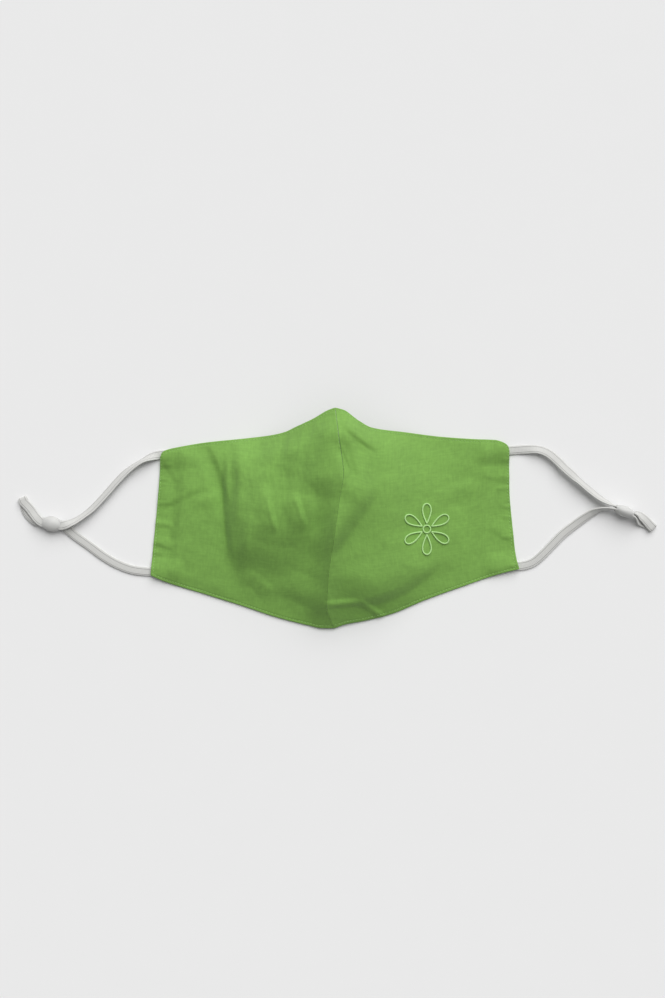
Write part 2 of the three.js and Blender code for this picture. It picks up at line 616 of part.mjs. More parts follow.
function namedMesh(name, geometry, look) {
  const mesh = new THREE.Mesh(geometry, new THREE.MeshStandardMaterial(look));
  mesh.name = name;
  return mesh;
}

function placedBead(name, bead) {
  const mesh = namedMesh(name, beadGeometry(wasm), silicone);
  mesh.rotation.x = THREE.MathUtils.degToRad(bead.roll);
  const place = new THREE.Group();
  place.rotation.z = THREE.MathUtils.degToRad(bead.heading);
  place.position.set(bead.x, bead.y, bead.z);
  place.add(mesh);
  return place;
}

const leftPanel = clothPanel(LEFT_OUTLINE, LEFT_SECTIONS, -SEAM_GAP / 2);
const rightPanel = clothPanel(RIGHT_OUTLINE, RIGHT_SECTIONS, SEAM_GAP / 2);
const leftStrap = strap(foldedTip(strapStations(LEFT_STRAP_OUT), strapStations(LEFT_STRAP_BACK)));
const rightStrap = strap(foldedTip(strapStations(RIGHT_STRAP_OUT), strapStations(RIGHT_STRAP_BACK)));

const mask = new THREE.Group();
mask.add(
  namedMesh('panel_left', leftPanel, cloth),
  namedMesh('panel_right', rightPanel, cloth),
  namedMesh('ear_loop_left', leftStrap, elastic),
  namedMesh('ear_loop_right', rightStrap, elastic),
  placedBead('adjuster_left', LEFT_BEAD),
  placedBead('adjuster_right', RIGHT_BEAD),
);

export default mask;
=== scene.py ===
"""A shaped cloth face mask lying on a table, outer side up.

Two sewn cotton panels, flat elastic ear loops and silicone adjuster beads are dressed
here over their solid frame. Tables and sizes are in millimetres unless a setting says
metres, and every mesh is made in metres: +X from ear to ear, +Y towards the nose, +Z up.
"""

import math
import random
from collections import namedtuple

import bmesh
import bpy
import numpy as np
from bpy.props import FloatProperty, FloatVectorProperty, IntProperty, PointerProperty
from mathutils import Matrix, Vector
from mathutils.bvhtree import BVHTree


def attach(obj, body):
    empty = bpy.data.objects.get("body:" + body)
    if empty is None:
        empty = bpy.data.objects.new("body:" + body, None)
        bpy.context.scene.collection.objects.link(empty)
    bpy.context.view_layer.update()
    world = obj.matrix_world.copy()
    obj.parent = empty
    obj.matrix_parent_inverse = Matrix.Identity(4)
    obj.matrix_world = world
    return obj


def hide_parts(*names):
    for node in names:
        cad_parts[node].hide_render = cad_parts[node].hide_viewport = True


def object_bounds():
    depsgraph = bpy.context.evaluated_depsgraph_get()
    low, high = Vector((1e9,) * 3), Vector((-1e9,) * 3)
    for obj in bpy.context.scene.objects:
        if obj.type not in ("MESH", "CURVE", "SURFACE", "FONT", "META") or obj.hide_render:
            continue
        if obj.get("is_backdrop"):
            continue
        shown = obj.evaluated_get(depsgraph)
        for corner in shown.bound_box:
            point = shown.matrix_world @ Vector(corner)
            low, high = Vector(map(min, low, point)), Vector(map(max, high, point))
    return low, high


bl_info = {
    "name": "Cloth Face Mask",
    "version": (1, 0, 0),
    "blender": (4, 5, 0),
    "location": "3D View > Sidebar > Face Mask",
    "description": "Builds a sewn cotton face mask with elastic ear loops and adjuster beads",
    "category": "Add Mesh",
}

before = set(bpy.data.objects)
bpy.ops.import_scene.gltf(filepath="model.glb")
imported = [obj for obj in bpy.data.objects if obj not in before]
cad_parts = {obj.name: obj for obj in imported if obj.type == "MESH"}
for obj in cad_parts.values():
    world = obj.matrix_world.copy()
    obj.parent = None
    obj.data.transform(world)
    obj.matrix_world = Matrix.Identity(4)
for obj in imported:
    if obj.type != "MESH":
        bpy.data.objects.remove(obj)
FRAME_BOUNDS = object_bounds()
BODY = "root"
MM = 0.001

# ---------------------------------------------------------------- outline in plan
# share is the way along the line, and x, y the point there

Mark = namedtuple("Mark", "share x y")

MIDDLE_SEAM = [  # from the chin edge up to the nose edge
    Mark(0.00, -0.8, -67.6),
    Mark(0.10, -5.0, -53.5),
    Mark(0.25, -4.0, -34.0),
    Mark(0.40, -1.0, -14.0),
    Mark(0.60, 2.6, 12.0),
    Mark(0.72, 5.0, 28.0),
    Mark(0.86, 2.2, 49.6),
    Mark(1.00, 0.0, 67.6),
]
LEFT_SIDE = [  # from the chin corner up to the nose corner
    Mark(0.00, -113.8, -34.8),
    Mark(0.10, -113.3, -27.0),
    Mark(0.35, -111.5, -8.0),
    Mark(0.70, -109.0, 19.0),
    Mark(1.00, -107.8, 38.4),
]
LEFT_NOSE = [  # from the side corner in to the seam
    Mark(0.00, -107.8, 38.4),
    Mark(0.03, -106.3, 41.5),
    Mark(0.06, -102.8, 43.1),
    Mark(0.10, -97.5, 44.3),
    Mark(0.25, -81.0, 47.2),
    Mark(0.50, -54.0, 50.0),
    Mark(0.66, -37.0, 52.0),
    Mark(0.72, -30.5, 53.5),
    Mark(0.78, -24.0, 56.4),
    Mark(0.88, -13.0, 61.3),
    Mark(0.96, -4.2, 66.2),
    Mark(1.00, 0.0, 67.6),
]
LEFT_CHIN = [  # from the side corner in to the seam
    Mark(0.00, -113.8, -34.8),
    Mark(0.06, -107.0, -38.0),
    Mark(0.30, -80.0, -46.6),
    Mark(0.50, -57.0, -53.8),
    Mark(0.70, -36.0, -60.8),
    Mark(0.85, -17.0, -65.6),
    Mark(0.93, -8.0, -67.5),
    Mark(1.00, -0.8, -67.6),
]
RIGHT_SIDE = [
    Mark(0.00, 113.8, -30.9),
    Mark(0.10, 112.2, -25.0),
    Mark(0.35, 110.0, -7.0),
    Mark(0.70, 107.8, 20.0),
    Mark(1.00, 107.6, 42.5),
]
RIGHT_NOSE = [
    Mark(0.000, 107.6, 42.5),
    Mark(0.020, 106.6, 45.4),
    Mark(0.045, 103.5, 47.6),
    Mark(0.080, 99.0, 48.9),
    Mark(0.200, 87.0, 49.4),
    Mark(0.400, 66.0, 50.8),
    Mark(0.600, 42.0, 53.6),
    Mark(0.720, 29.0, 54.8),
    Mark(0.780, 22.0, 56.0),
    Mark(0.850, 14.5, 59.8),
    Mark(0.940, 5.0, 66.4),
    Mark(1.000, 0.0, 67.6),
]
RIGHT_CHIN = [
    Mark(0.00, 113.8, -30.9),
    Mark(0.06, 105.0, -33.0),
    Mark(0.30, 78.0, -42.0),
    Mark(0.50, 56.0, -50.0),
    Mark(0.70, 34.0, -59.0),
    Mark(0.85, 17.0, -63.2),
    Mark(0.94, 7.0, -65.0),
    Mark(1.00, -0.8, -67.6),
]

# ---------------------------------------------------------------- height of the outer face
# Each row is a section from the chin edge up to the nose edge: across is its share of the
# way from the side edge to the seam, and heights are those at each share in SECTION_SHARES.

Section = namedtuple("Section", "across heights")

SECTION_SHARES = [0, 0.1, 0.25, 0.45, 0.65, 0.85, 1]
LEFT_SECTIONS = [
    Section(0.00, (1.4, 1.4, 1.4, 1.4, 1.4, 1.4, 1.4)),
    Section(0.08, (1.4, 1.4, 1.4, 1.4, 1.4, 1.4, 1.4)),
    Section(0.15, (1.4, 3.0, 4.2, 4.8, 4.8, 3.8, 1.4)),
    Section(0.27, (1.4, 3.4, 5.0, 6.0, 6.4, 5.2, 1.6)),
    Section(0.39, (1.4, 3.4, 4.8, 6.0, 7.0, 6.0, 1.6)),
    Section(0.46, (1.4, 3.2, 5.8, 11.6, 15.0, 11.2, 1.8)),
    Section(0.54, (1.4, 3.8, 9.2, 18.8, 19.8, 13.0, 2.6)),
    Section(0.70, (1.4, 4.2, 9.8, 19.4, 23.0, 19.5, 9.5)),
    Section(0.85, (1.6, 5.8, 12.2, 20.2, 27.0, 25.5, 17.0)),
    Section(0.95, (2.0, 10.0, 17.6, 24.4, 29.8, 29.0, 20.5)),
    Section(1.00, (2.0, 12.0, 21.5, 28.0, 31.0, 30.0, 22.0)),
]
RIGHT_SECTIONS = [
    Section(0.00, (1.4, 1.4, 1.4, 1.4, 1.4, 1.4, 1.4)),
    Section(0.08, (1.4, 1.4, 1.4, 1.4, 1.4, 1.4, 1.4)),
    Section(0.15, (1.4, 1.6, 2.0, 2.6, 3.2, 3.6, 1.4)),
    Section(0.30, (1.4, 2.2, 3.9, 4.8, 4.4, 3.4, 1.8)),
    Section(0.50, (1.4, 4.6, 8.9, 10.2, 9.2, 6.5, 3.2)),
    Section(0.70, (1.4, 8.6, 15.6, 18.8, 20.5, 18.5, 11.5)),
    Section(0.85, (1.6, 10.4, 18.4, 22.2, 26.0, 25.5, 19.0)),
    Section(0.95, (2.0, 11.5, 20.4, 25.6, 29.6, 29.2, 21.4)),
    Section(1.00, (2.0, 12.0, 21.5, 28.0, 31.0, 30.0, 22.0)),
]

# ---------------------------------------------------------------- folds
# A fold is a ridge (rise above 0) or a valley (below 0) on the line x0, y0 to x1, y1.
# bow is how far its middle swings to the left-hand side, and left and right are how far
# the fold reaches on each side, so a short reach is the steep side.

Fold = namedtuple("Fold", "name x0 y0 x1 y1 bow rise left right")

MAIN_FOLDS = [
    Fold("left bulge edge", -59, -34, -64, 50, 3, 3.2, 5, 13),
    Fold("left valley", -84, 50, -67, -3, 3, -2.0, 5, 8),
    Fold("left ledge", -72, 8, -2, -10, -3, 1.8, 24, 12),
    Fold("outer flute", -37, -10, -43, 20, 0, 1.4, 9, 4),
    Fold("inner flute", -19, -9, -26, 20, 0, 1.8, 10, 4),
    Fold("pocket lip", -26, 29, 26, 20, 2, 3.0, 20, 15),
    Fold("pocket by seam", -8, -20, -11, 26, 0, -1.4, 7, 10),
    Fold("seam foot", -14, -70, -11, 0, 0, -1.0, 8, 10),
    Fold("left lower step", -72, -17, -16, -26, 0, 0.9, 16, 12),
    Fold("left chin edge", -40, -38, 2, -58, 3, 1.6, 12, 9),
    Fold("nose dimple", 13, 18, 3, 52, 0, -1.6, 8, 5),
    Fold("nose bump", -16, 50, 16, 48, 0, 2.0, 14, 20),
    Fold("nose pleat", -24, 8, -26, 56, 0, 0.8, 6, 6),
    Fold("left chin pleat", -58, -32, -36, -50, 2, 0.8, 5, 8),
    Fold("right nose groove", 4, 61, 29, 42, -2, 2.2, 10, 4),
    Fold("right cheek ridge", -12, -26, 26, 29, 0, 3.8, 13, 9),
    Fold("right belly edge", 66, -18, 4, -49, 8, 2.8, 8, 26),
    Fold("right belly foot", 44, -46, 4, -56, 3, -0.8, 7, 8),
    Fold("chin crease", -10, -52.6, 20, -50.5, 0, 1.3, 3.5, 3),
    Fold("chin corner", 14, -49, 32, -62, 0, 1.3, 2.5, 3.5),
    Fold("right cheek pull", 58, 12, 90, 24, 0, 0.9, 5, 9),
    Fold("left cheek bump", -90, 10, -66, 15, 0, 0.8, 5, 7),
    Fold("left side pull", -114, 7, -78, 23, 0, 1.0, 14, 5),
    Fold("left middle pucker", -114, -3, -99, -4, 0, 0.5, 5, 3),
    Fold("left lower pucker", -115, -13, -98, -18, 0, 0.6, 6, 3),
    Fold("right upper pucker", 88, 29, 115, 23, 0, 0.6, 8, 4),
    Fold("right lower pucker", 93, -3, 114, -15, 0, 0.6, 8, 4),
    Fold("left nose corner", -120, 39.6, -84, 39.6, 0, 2.2, 10, 10),
    Fold("left chin end", -126, -32.5, -90, -32.5, 0, 2.2, 10, 10),
    Fold("right nose corner", 120, 42.2, 84, 42.2, 0, 2.2, 10, 10),
    Fold("right chin corner", 125, -29, 89, -29, 0, 2.2, 10, 10),
]
FINE_FOLDS = [
    Fold("outer flute edge", -35, -9, -41, 15, 0, 0.7, 3, 1.6),
    Fold("inner flute edge", -16, -7, -24, 15, 0, 0.7, 3, 1.6),
    Fold("bulge crease", -33, 53, -49, 10, 2, 1.0, 3, 9),
    Fold("dimple crease", 9, 27, 2, 45, 0, -0.9, 3, 2),
    Fold("outer nose streak", -27, 57, -31, 28, 0, 0.35, 2.5, 1.5),
    Fold("inner nose streak", -19, 60, -24, 27, 0, 0.35, 2.5, 1.5),
    Fold("nose tip streak", -10, 65, -17, 34, 0, 0.3, 2.5, 1.5),
    Fold("left corner crease", -109, 44, -94, 20, 0, 0.6, 9, 4),
]
FOLD_END_SHARE = 0.33  # share of a fold's length over which each end fades
GATHERS = 8  # small puckers where each side edge is drawn in
GATHER_LENGTH = 8.0
GATHER_RISE = 0.3
GATHER_REACH = (2.4, 1.6)  # on a gather's left and right

# ---------------------------------------------------------------- ear loops
# lift is the strap's lowest edge above the table, and roll its lean in degrees, so that
# above 0 the edge on the left of the way along is higher.

Stop = namedtuple("Stop", "x y lift roll")

LEFT_STRAP_OUT = [  # from under the nose corner, through the bead, to the tip
    Stop(-98.5, 39.6, 0, 0),
    Stop(-104.0, 39.9, 0, 0),
    Stop(-108.8, 39.6, 0, 3),
    Stop(-113.4, 38.4, 0, 32),
    Stop(-119.2, 35.7, 0, 62),
    Stop(-125.0, 32.0, 0, 54),
    Stop(-130.8, 27.2, 0, 42),
    Stop(-142.8, 13.9, 0, 40),
    Stop(-149.4, 6.9, 0, 42),
    Stop(-155.9, 1.6, 0.4, 48),
    Stop(-162.2, -2.1, 1.7, 40),
    Stop(-168.6, -3.9, 3.5, 0),
    Stop(-174.7, -2.9, 3.5, 0),
    Stop(-180.8, -1.8, 3.5, 0),
    Stop(-183.6, 0.5, 2.9, 4),
    Stop(-185.8, 3.1, 2.0, 6),
    Stop(-187.6, 5.5, 1.6, 6),
    Stop(-189.6, 7.9, 1.6, 4),
    Stop(-192.2, 10.6, 1.7, 0),
    Stop(-192.9, 12.1, 1.7, 0),
]
LEFT_STRAP_BACK = [  # from the tip, back through the bead, to under the chin corner
    Stop(-192.9, 12.1, 0, 0),
    Stop(-192.2, 10.6, 0, 0),
    Stop(-192.0, 8.0, 0, 0),
    Stop(-190.5, 4.1, 0, 0),
    Stop(-187.1, 0.4, 0.5, 0),
    Stop(-183.6, -1.5, 1.5, 0),
    Stop(-180.8, -1.8, 1.8, 0),
    Stop(-174.7, -2.9, 1.8, 0),
    Stop(-168.6, -3.9, 1.8, 0),
    Stop(-165.0, -6.4, 0.9, 0),
    Stop(-161.2, -9.9, 0.2, 0),
    Stop(-151.9, -16.6, 0, 0),
    Stop(-143.2, -23.0, 0, 0),
    Stop(-134.5, -28.0, 0, 0),
    Stop(-125.9, -31.2, 0, 0),
    Stop(-118.0, -32.4, 0, 0),
    Stop(-110.5, -32.6, 0, 0),
    Stop(-103.5, -32.5, 0, 0),
]
RIGHT_STRAP_OUT = [  # the same way round: on edge in the bead, and flat again at the tip
    Stop(98.5, 42.1, 0, 0),
    Stop(104.0, 42.2, 0, 0),
    Stop(110.0, 42.5, 0, 0),
    Stop(117.2, 43.0, 0.2, -6),
    Stop(125.2, 42.9, 0.8, -26),
    Stop(131.0, 40.8, 1.6, -20),
    Stop(137.0, 36.0, 2.2, -14),
    Stop(141.5, 31.4, 2.4, -22),
    Stop(146.4, 27.1, 2.2, -24),
    Stop(151.0, 22.9, 1.8, -44),
    Stop(157.0, 17.9, 1.5, -42),
    Stop(163.3, 12.9, 1.5, -52),
    Stop(168.6, 9.8, 1.8, -66),
    Stop(172.5, 7.9, 1.95, -90),
    Stop(178.3, 5.7, 1.95, -90),
    Stop(184.1, 3.5, 1.95, -88),
    Stop(186.4, 2.9, 1.6, -50),
    Stop(188.5, 1.8, 1.4, -30),
    Stop(190.8, 0.1, 1.4, -18),
    Stop(193.2, -2.3, 1.5, -6),
    Stop(194.9, -4.1, 1.7, 0),
    Stop(196.0, -5.2, 1.7, 0),
]
RIGHT_STRAP_BACK = [
    Stop(196.0, -5.2, 0, 0),
    Stop(194.9, -4.1, 0, 0),
    Stop(192.5, -3.0, 0, 2),
    Stop(190.0, -2.1, 0, 8),
    Stop(187.8, -1.0, 0.2, 26),
    Stop(185.7, 0.5, 1.0, 58),
    Stop(183.5, 1.9, 1.95, 88),
    Stop(177.7, 4.1, 1.95, 90),
    Stop(171.9, 6.3, 1.9, 92),
    Stop(168.2, 6.4, 1.4, 105),
    Stop(163.4, 5.7, 0.7, 122),
    Stop(158.0, 3.3, 0.2, 152),
    Stop(147.1, -4.4, 0, 172),
    Stop(140.6, -9.6, 0, 175),
    Stop(134.4, -15.9, 0, 175),
    Stop(128.2, -22.2, 0, 175),
    Stop(122.4, -26.9, 0, 178),
    Stop(116.2, -28.9, 0, 180),
    Stop(110.0, -29.1, 0, 180),
    Stop(102.5, -29.0, 0, 180),
]
STRAP_STEP = 0.55  # between the rings of a strap's mesh
STRAP_SIDES = 40
STRAP_POWER = 0.62  # how square the strap's section is
TIP_STEPS = 18  # rings round the folded tip

# ---------------------------------------------------------------- adjuster beads
# heading is the way through the bead in plan, and roll its turn about that way, in degrees

Bead = namedtuple("Bead", "x y z heading roll")

LEFT_BEAD = Bead(-174.7, -2.9, 3.3, 170, 0)
RIGHT_BEAD = Bead(178.0, 4.9, 4.7, -20.8, 90)


# ---------------------------------------------------------------- settings


def metres(default, name, description):
    """A length."""
    return FloatProperty(name=name, description=description, default=default, unit="LENGTH")


def amount(default, name, description):
    """A plain number."""
    return FloatProperty(name=name, description=description, default=default)


def degrees(default, name, description):
    """An angle, which Blender keeps in radians."""
    turn = math.radians(default)
    return FloatProperty(name=name, description=description, default=turn, subtype="ANGLE")


def several(default, name, description, subtype):
    """Numbers that belong together."""
    return FloatVectorProperty(
        name=name, description=description, default=default, size=len(default), subtype=subtype
    )


def rgb(default, name, description):
    """A colour."""
    return several(default, name, description, "COLOR")


def position(default, name, description):
    """A place, in metres."""
    return several(default, name, description, "XYZ_LENGTH")


class ClothSettings(bpy.types.PropertyGroup):
    """The two sewn panels."""

    wall: metres(0.0014, "Cloth thickness", "Two layers of cotton, sewn and pressed")
    colour: rgb((0.166, 0.338, 0.061), "Cloth colour", "The dyed cotton in even light")
    crumple: metres(
        0.00016, "Crumple height", "How high the small soft creases of handled cotton stand"
    )
    thread_pitch: metres(0.00042, "Weave pitch", "From one thread of the plain weave to the next")


class StitchSettings(bpy.types.PropertyGroup):
    """The sewing thread along the edges."""

    inset: metres(0.0016, "Stitch inset", "From the cloth's edge in to the line of stitches")
    pitch: metres(0.0019, "Stitch pitch", "From the start of one stitch to the next")
    thickness: metres(0.0003, "Thread thickness", "Across the sewing thread")
    colour: rgb(
        (0.3, 0.55, 0.15), "Thread colour", "Sewing thread, a little paler than the cloth"
    )


class MotifSettings(bpy.types.PropertyGroup):
    """The embroidered flower."""

    centre: position((0.056, -0.006), "Flower centre", "The middle of the flower, seen from above")
    reach: metres(0.0155, "Petal reach", "From the flower's middle out to a petal's tip")
    petals: IntProperty(
        name="Petals",
        description="Looped petals round the middle",
        default=6,
        min=3,
        max=12,
    )
    thickness: metres(0.0011, "Embroidery thickness", "Across the twisted embroidery thread")
    colour: rgb((0.42, 0.68, 0.26), "Embroidery colour", "Pale twisted thread")


class LoopSettings(bpy.types.PropertyGroup):
    """The elastic ear loops."""

    width: metres(0.0055, "Elastic width", "Across the flat elastic")
    thickness: metres(0.0013, "Elastic thickness", "Through the flat elastic")
    knit_pitch: metres(0.00085, "Knit pitch", "From one knitted row to the next along the elastic")
    colour: rgb((0.56, 0.56, 0.54), "Elastic colour", "The off-white elastic")


class BeadSettings(bpy.types.PropertyGroup):
    """The silicone adjusters."""

    length: metres(0.0112, "Bead length", "Along the strap")
    width: metres(0.0094, "Bead width", "Across the strap's flat side")
    height: metres(0.0066, "Bead height", "Through the bead's thin way")
    slot_width: metres(0.0062, "Slot width", "The long way across the slot for the strap")
    slot_height: metres(0.0037, "Slot height", "The short way across the slot for the strap")
    colour: rgb((0.55, 0.55, 0.535), "Silicone colour", "The milky silicone")


class StageSettings(bpy.types.PropertyGroup):
    """The floor, lights and camera."""

    floor_colour: rgb((0.8, 0.8, 0.8), "Floor colour", "The plain pale table")
    key_power: amount(3.35, "Main light", "Strength of the soft light from beyond the nose edge")
    key_azimuth: degrees(
        72, "Main light direction", "Which way the light comes from, counted from +X"
    )
    key_height: degrees(46, "Main light height", "How high the light stands above the table")
    key_spread: degrees(
        62, "Main light spread", "How wide the light looks, which softens its shadows"
    )
    surround: amount(0.25, "Surrounding light", "Strength of the even light from all sides")
    camera_place: position(
        (-0.00155, 0.0124, 0.858), "Camera place", "The camera looks straight down from here"
    )
    lens: amount(50, "Lens", "Focal length in millimetres")


class FaceMaskSettings(bpy.types.PropertyGroup):
    """All sizes and colours of the mask."""

    cloth: PointerProperty(type=ClothSettings)
    stitches: PointerProperty(type=StitchSettings)
    motif: PointerProperty(type=MotifSettings)
    loops: PointerProperty(type=LoopSettings)
    beads: PointerProperty(type=BeadSettings)
    stage: PointerProperty(type=StageSettings)


# ---------------------------------------------------------------- smooth tables


def follow(inputs, outputs, values):
    """The smooth curve through the points, at each value, never swinging past them."""
    values = np.asarray(values, float)
    inputs = np.asarray(inputs, float)
    outputs = np.asarray(outputs, float)
    gaps = np.diff(inputs)
    rates = np.diff(outputs) / gaps
    earlier = rates[..., :-1]
    later = rates[..., 1:]
    before = 2 * gaps[1:] + gaps[:-1]
    after = gaps[1:] + 2 * gaps[:-1]
    steady = earlier * later > 0
    blend = before / np.where(steady, earlier, 1) + after / np.where(steady, later, 1)
    inner = np.where(steady, (before + after) / np.where(steady, blend, 1), 0)
    slopes = np.concatenate([rates[..., :1], inner, rates[..., -1:]], axis=-1)
    place = np.clip(np.searchsorted(inputs, values) - 1, 0, len(gaps) - 1)
    outputs = np.broadcast_to(outputs, values.shape + inputs.shape)
    slopes = np.broadcast_to(slopes, values.shape + inputs.shape)

    def pick(table, index):
        return np.take_along_axis(table, index[..., None], -1)[..., 0]

    t = (values - inputs[place]) / gaps[place]
    rest = 1 - t
    return (
        pick(outputs, place) * (1 + 2 * t) * rest**2
        + pick(outputs, place + 1) * t**2 * (3 - 2 * t)
        + gaps[place] * pick(slopes, place) * t * rest**2
        - gaps[place] * pick(slopes, place + 1) * t**2 * rest
    )


def line_at(rows, shares):
    """Points on the smooth line through an outline's rows."""
    marks = [row.share for row in rows]
    x = follow(marks, [row.x for row in rows], shares)
    y = follow(marks, [row.y for row in rows], shares)
    return np.stack([x, y], -1)


def units(vectors):
    """The vectors at unit length."""
    return vectors / np.linalg.norm(vectors, axis=-1, keepdims=True)


def distances(points):
    """How far along its line each point is."""
    steps = np.linalg.norm(np.diff(points, axis=0), axis=1)
    return np.concatenate([[0], np.cumsum(steps)])


def swept(middle, beside, up, across, rise):
    """A ring of points round each middle, each so far beside it and so far above it."""
    return middle[:, None] + across[:, None] * beside[:, None] + rise[:, None] * up[:, None]


def turns(count):
    """Even angles once round."""
    return np.linspace(0, 2 * math.pi, count, endpoint=False)


def rounded_oblong(count, power, width, height):
    """A closed section: an ellipse at power 1, and closer to an oblong below 1."""
    turn = turns(count)
    across = np.sign(np.cos(turn)) * np.abs(np.cos(turn)) ** power
    through = np.sign(np.sin(turn)) * np.abs(np.sin(turn)) ** power
    return np.stack([across * width / MM / 2, through * height / MM / 2], -1)


def smooth_step(share):
    share = np.clip(share, 0, 1)
    return share * share * (3 - 2 * share)


def crumple(x, y, wavelength, seed, waves=28):
    """A gentle random surface between about -1 and 1: many crossing waves."""
    draws = np.random.default_rng(seed)
    total = np.zeros_like(x)
    for _ in range(waves):
        turn = draws.uniform(0, 2 * math.pi)
        length = wavelength * draws.uniform(0.7, 1.6)
        phase = draws.uniform(0, 2 * math.pi)
        total += np.cos(2 * math.pi / length * (x * math.cos(turn) + y * math.sin(turn)) + phase)
    return total / math.sqrt(2 * waves)


def creased(row, x, y):
    """How much one kind of crease raises the cloth at each point."""
    return crumple(x * row.squeeze, y, row.wavelength, row.seed) * row.share


# ---------------------------------------------------------------- meshes


def add_object(name, data):
    """A new object in the scene."""
    added = bpy.data.objects.new(name, data)
    bpy.context.scene.collection.objects.link(added)
    return added


def make_piece(name, points, faces, material, maps=None):
    """A smooth mesh object from points in millimetres, riding on the mask."""
    mesh = bpy.data.meshes.new(name)
    mesh.from_pydata((np.asarray(points) * MM).tolist(), [], faces)
    for map_name, places in (maps or {}).items():
        layer = mesh.uv_layers.new(name=map_name)
        corners = np.zeros(len(mesh.loops), int)
        mesh.loops.foreach_get("vertex_index", corners)
        layer.uv.foreach_set("vector", places[corners].astype(np.float32).ravel())
    outward(mesh)
    mesh.shade_smooth()
    mesh.materials.append(material)
    piece = add_object(name, mesh)
    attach(piece, BODY)
    return piece


def outward(mesh):
    """Turns every face of a closed mesh outwards."""
    work = bmesh.new()
    work.from_mesh(mesh)
    bmesh.ops.recalc_face_normals(work, faces=work.faces)
    work.to_mesh(mesh)
    work.free()


def ring_faces(rings, sides, first=0, looped=False):
    """Faces between rings of points that follow each other, back to the first if looped."""
    faces = []
    for i in range(rings if looped else rings - 1):
        step = ((i + 1) % rings - i) * sides
        for k in range(sides):
            a = first + i * sides + k
            b = first + i * sides + (k + 1) % sides
            faces.append((a, b, b + step, a + step))
    return faces


def tube_faces(rings, sides, first=0):
    """Faces of a tube of rings that is closed at both ends."""
    start = tuple(first + k for k in reversed(range(sides)))
    end = tuple(first + (rings - 1) * sides + k for k in range(sides))
    return [*ring_faces(rings, sides, first), start, end]


# ---------------------------------------------------------------- shaders


class Socket:
    """A shader socket that can be used in Python sums."""

    def __init__(self, shader, socket):
        self.shader = shader
        self.socket = socket

    def maths(self, operation, *values):
        inputs = dict(enumerate(values))
        return self.shader.node("ShaderNodeMath", {"operation": operation}, inputs)

    def __add__(self, other):
        return self.maths("ADD", self, other)

    __radd__ = __add__

    def __mul__(self, other):
        return self.maths("MULTIPLY", self, other)

    __rmul__ = __mul__

    def __sub__(self, other):
        return self.maths("SUBTRACT", self, other)

    def __rsub__(self, other):
        return self.maths("SUBTRACT", other, self)

    def __abs__(self):
        return self.maths("ABSOLUTE", self)

    def sine(self):
        return self.maths("SINE", self)

    def at_least(self, floor):
        return self.maths("MAXIMUM", self, floor)


class Shader:
    """A material and the nodes that make its surface."""

    def __init__(self, name):
        self.material = bpy.data.materials.new(name)
        self.material.use_nodes = True
        self.tree = self.material.node_tree
        self.tree.nodes.clear()

    def node(self, kind, settings=None, inputs=None, output=0):
        """Any node: its settings first, then a value or link for each input named or numbered."""
        node = self.tree.nodes.new(kind)
        for name, value in (settings or {}).items():
            setattr(node, name, value)
        for name, value in (inputs or {}).items():
            if isinstance(value, Socket):
                self.tree.links.new(value.socket, node.inputs[name])
            else:
                node.inputs[name].default_value = value
        return Socket(self, node.outputs[output]) if node.outputs else None

    def map_place(self, name):
        """The place on a map, whole and as its two parts. Maps count in millimetres."""
        where = self.node("ShaderNodeUVMap", {"uv_map": name})
        parts = [
            self.node("ShaderNodeSeparateXYZ", {}, {"Vector": where}, output=k) for k in (0, 1)
        ]
        return where, *parts

    def object_place(self):
        """The place on the object, in metres."""
        return self.node("ShaderNodeTexCoord", output=3)

    def noise(self, where, scale, detail=2.0, stretch=(1, 1, 1)):
        """Soft noise, from 0 to 1, drawn out along the axes by stretch."""
        place = self.node(
            "ShaderNodeMapping", {"vector_type": "TEXTURE"}, {"Vector": where, "Scale": stretch}
        )
        inputs = {"Vector": place, "Scale": scale, "Detail": detail}
        return self.node("ShaderNodeTexNoise", inputs=inputs)

    def tint(self, factor, colour, dark, light):
        """The colour, going from dark times itself at factor 0 to light times itself at 1."""
        shades = {6: shade(colour, dark), 7: shade(colour, light)}
        return self.node("ShaderNodeMix", {"data_type": "RGBA"}, {0: factor, **shades}, output=2)

    def bump(self, height, distance):
        """The normal of a surface whose height runs from 0 to distance."""
        return self.node("ShaderNodeBump", inputs={"Height": height, "Distance": distance})

    def surface(self, **inputs):
        """The finished surface, which ends the shader."""
        names = {name.replace("_", " "): value for name, value in inputs.items()}
        shader = self.node("ShaderNodeBsdfPrincipled", {}, names)
        self.node("ShaderNodeOutputMaterial", {}, {"Surface": shader})
        return self.material


def shade(colour, factor):
    """A colour made darker or lighter, with its alpha."""
    return tuple(channel * factor for channel in colour) + (1.0,)


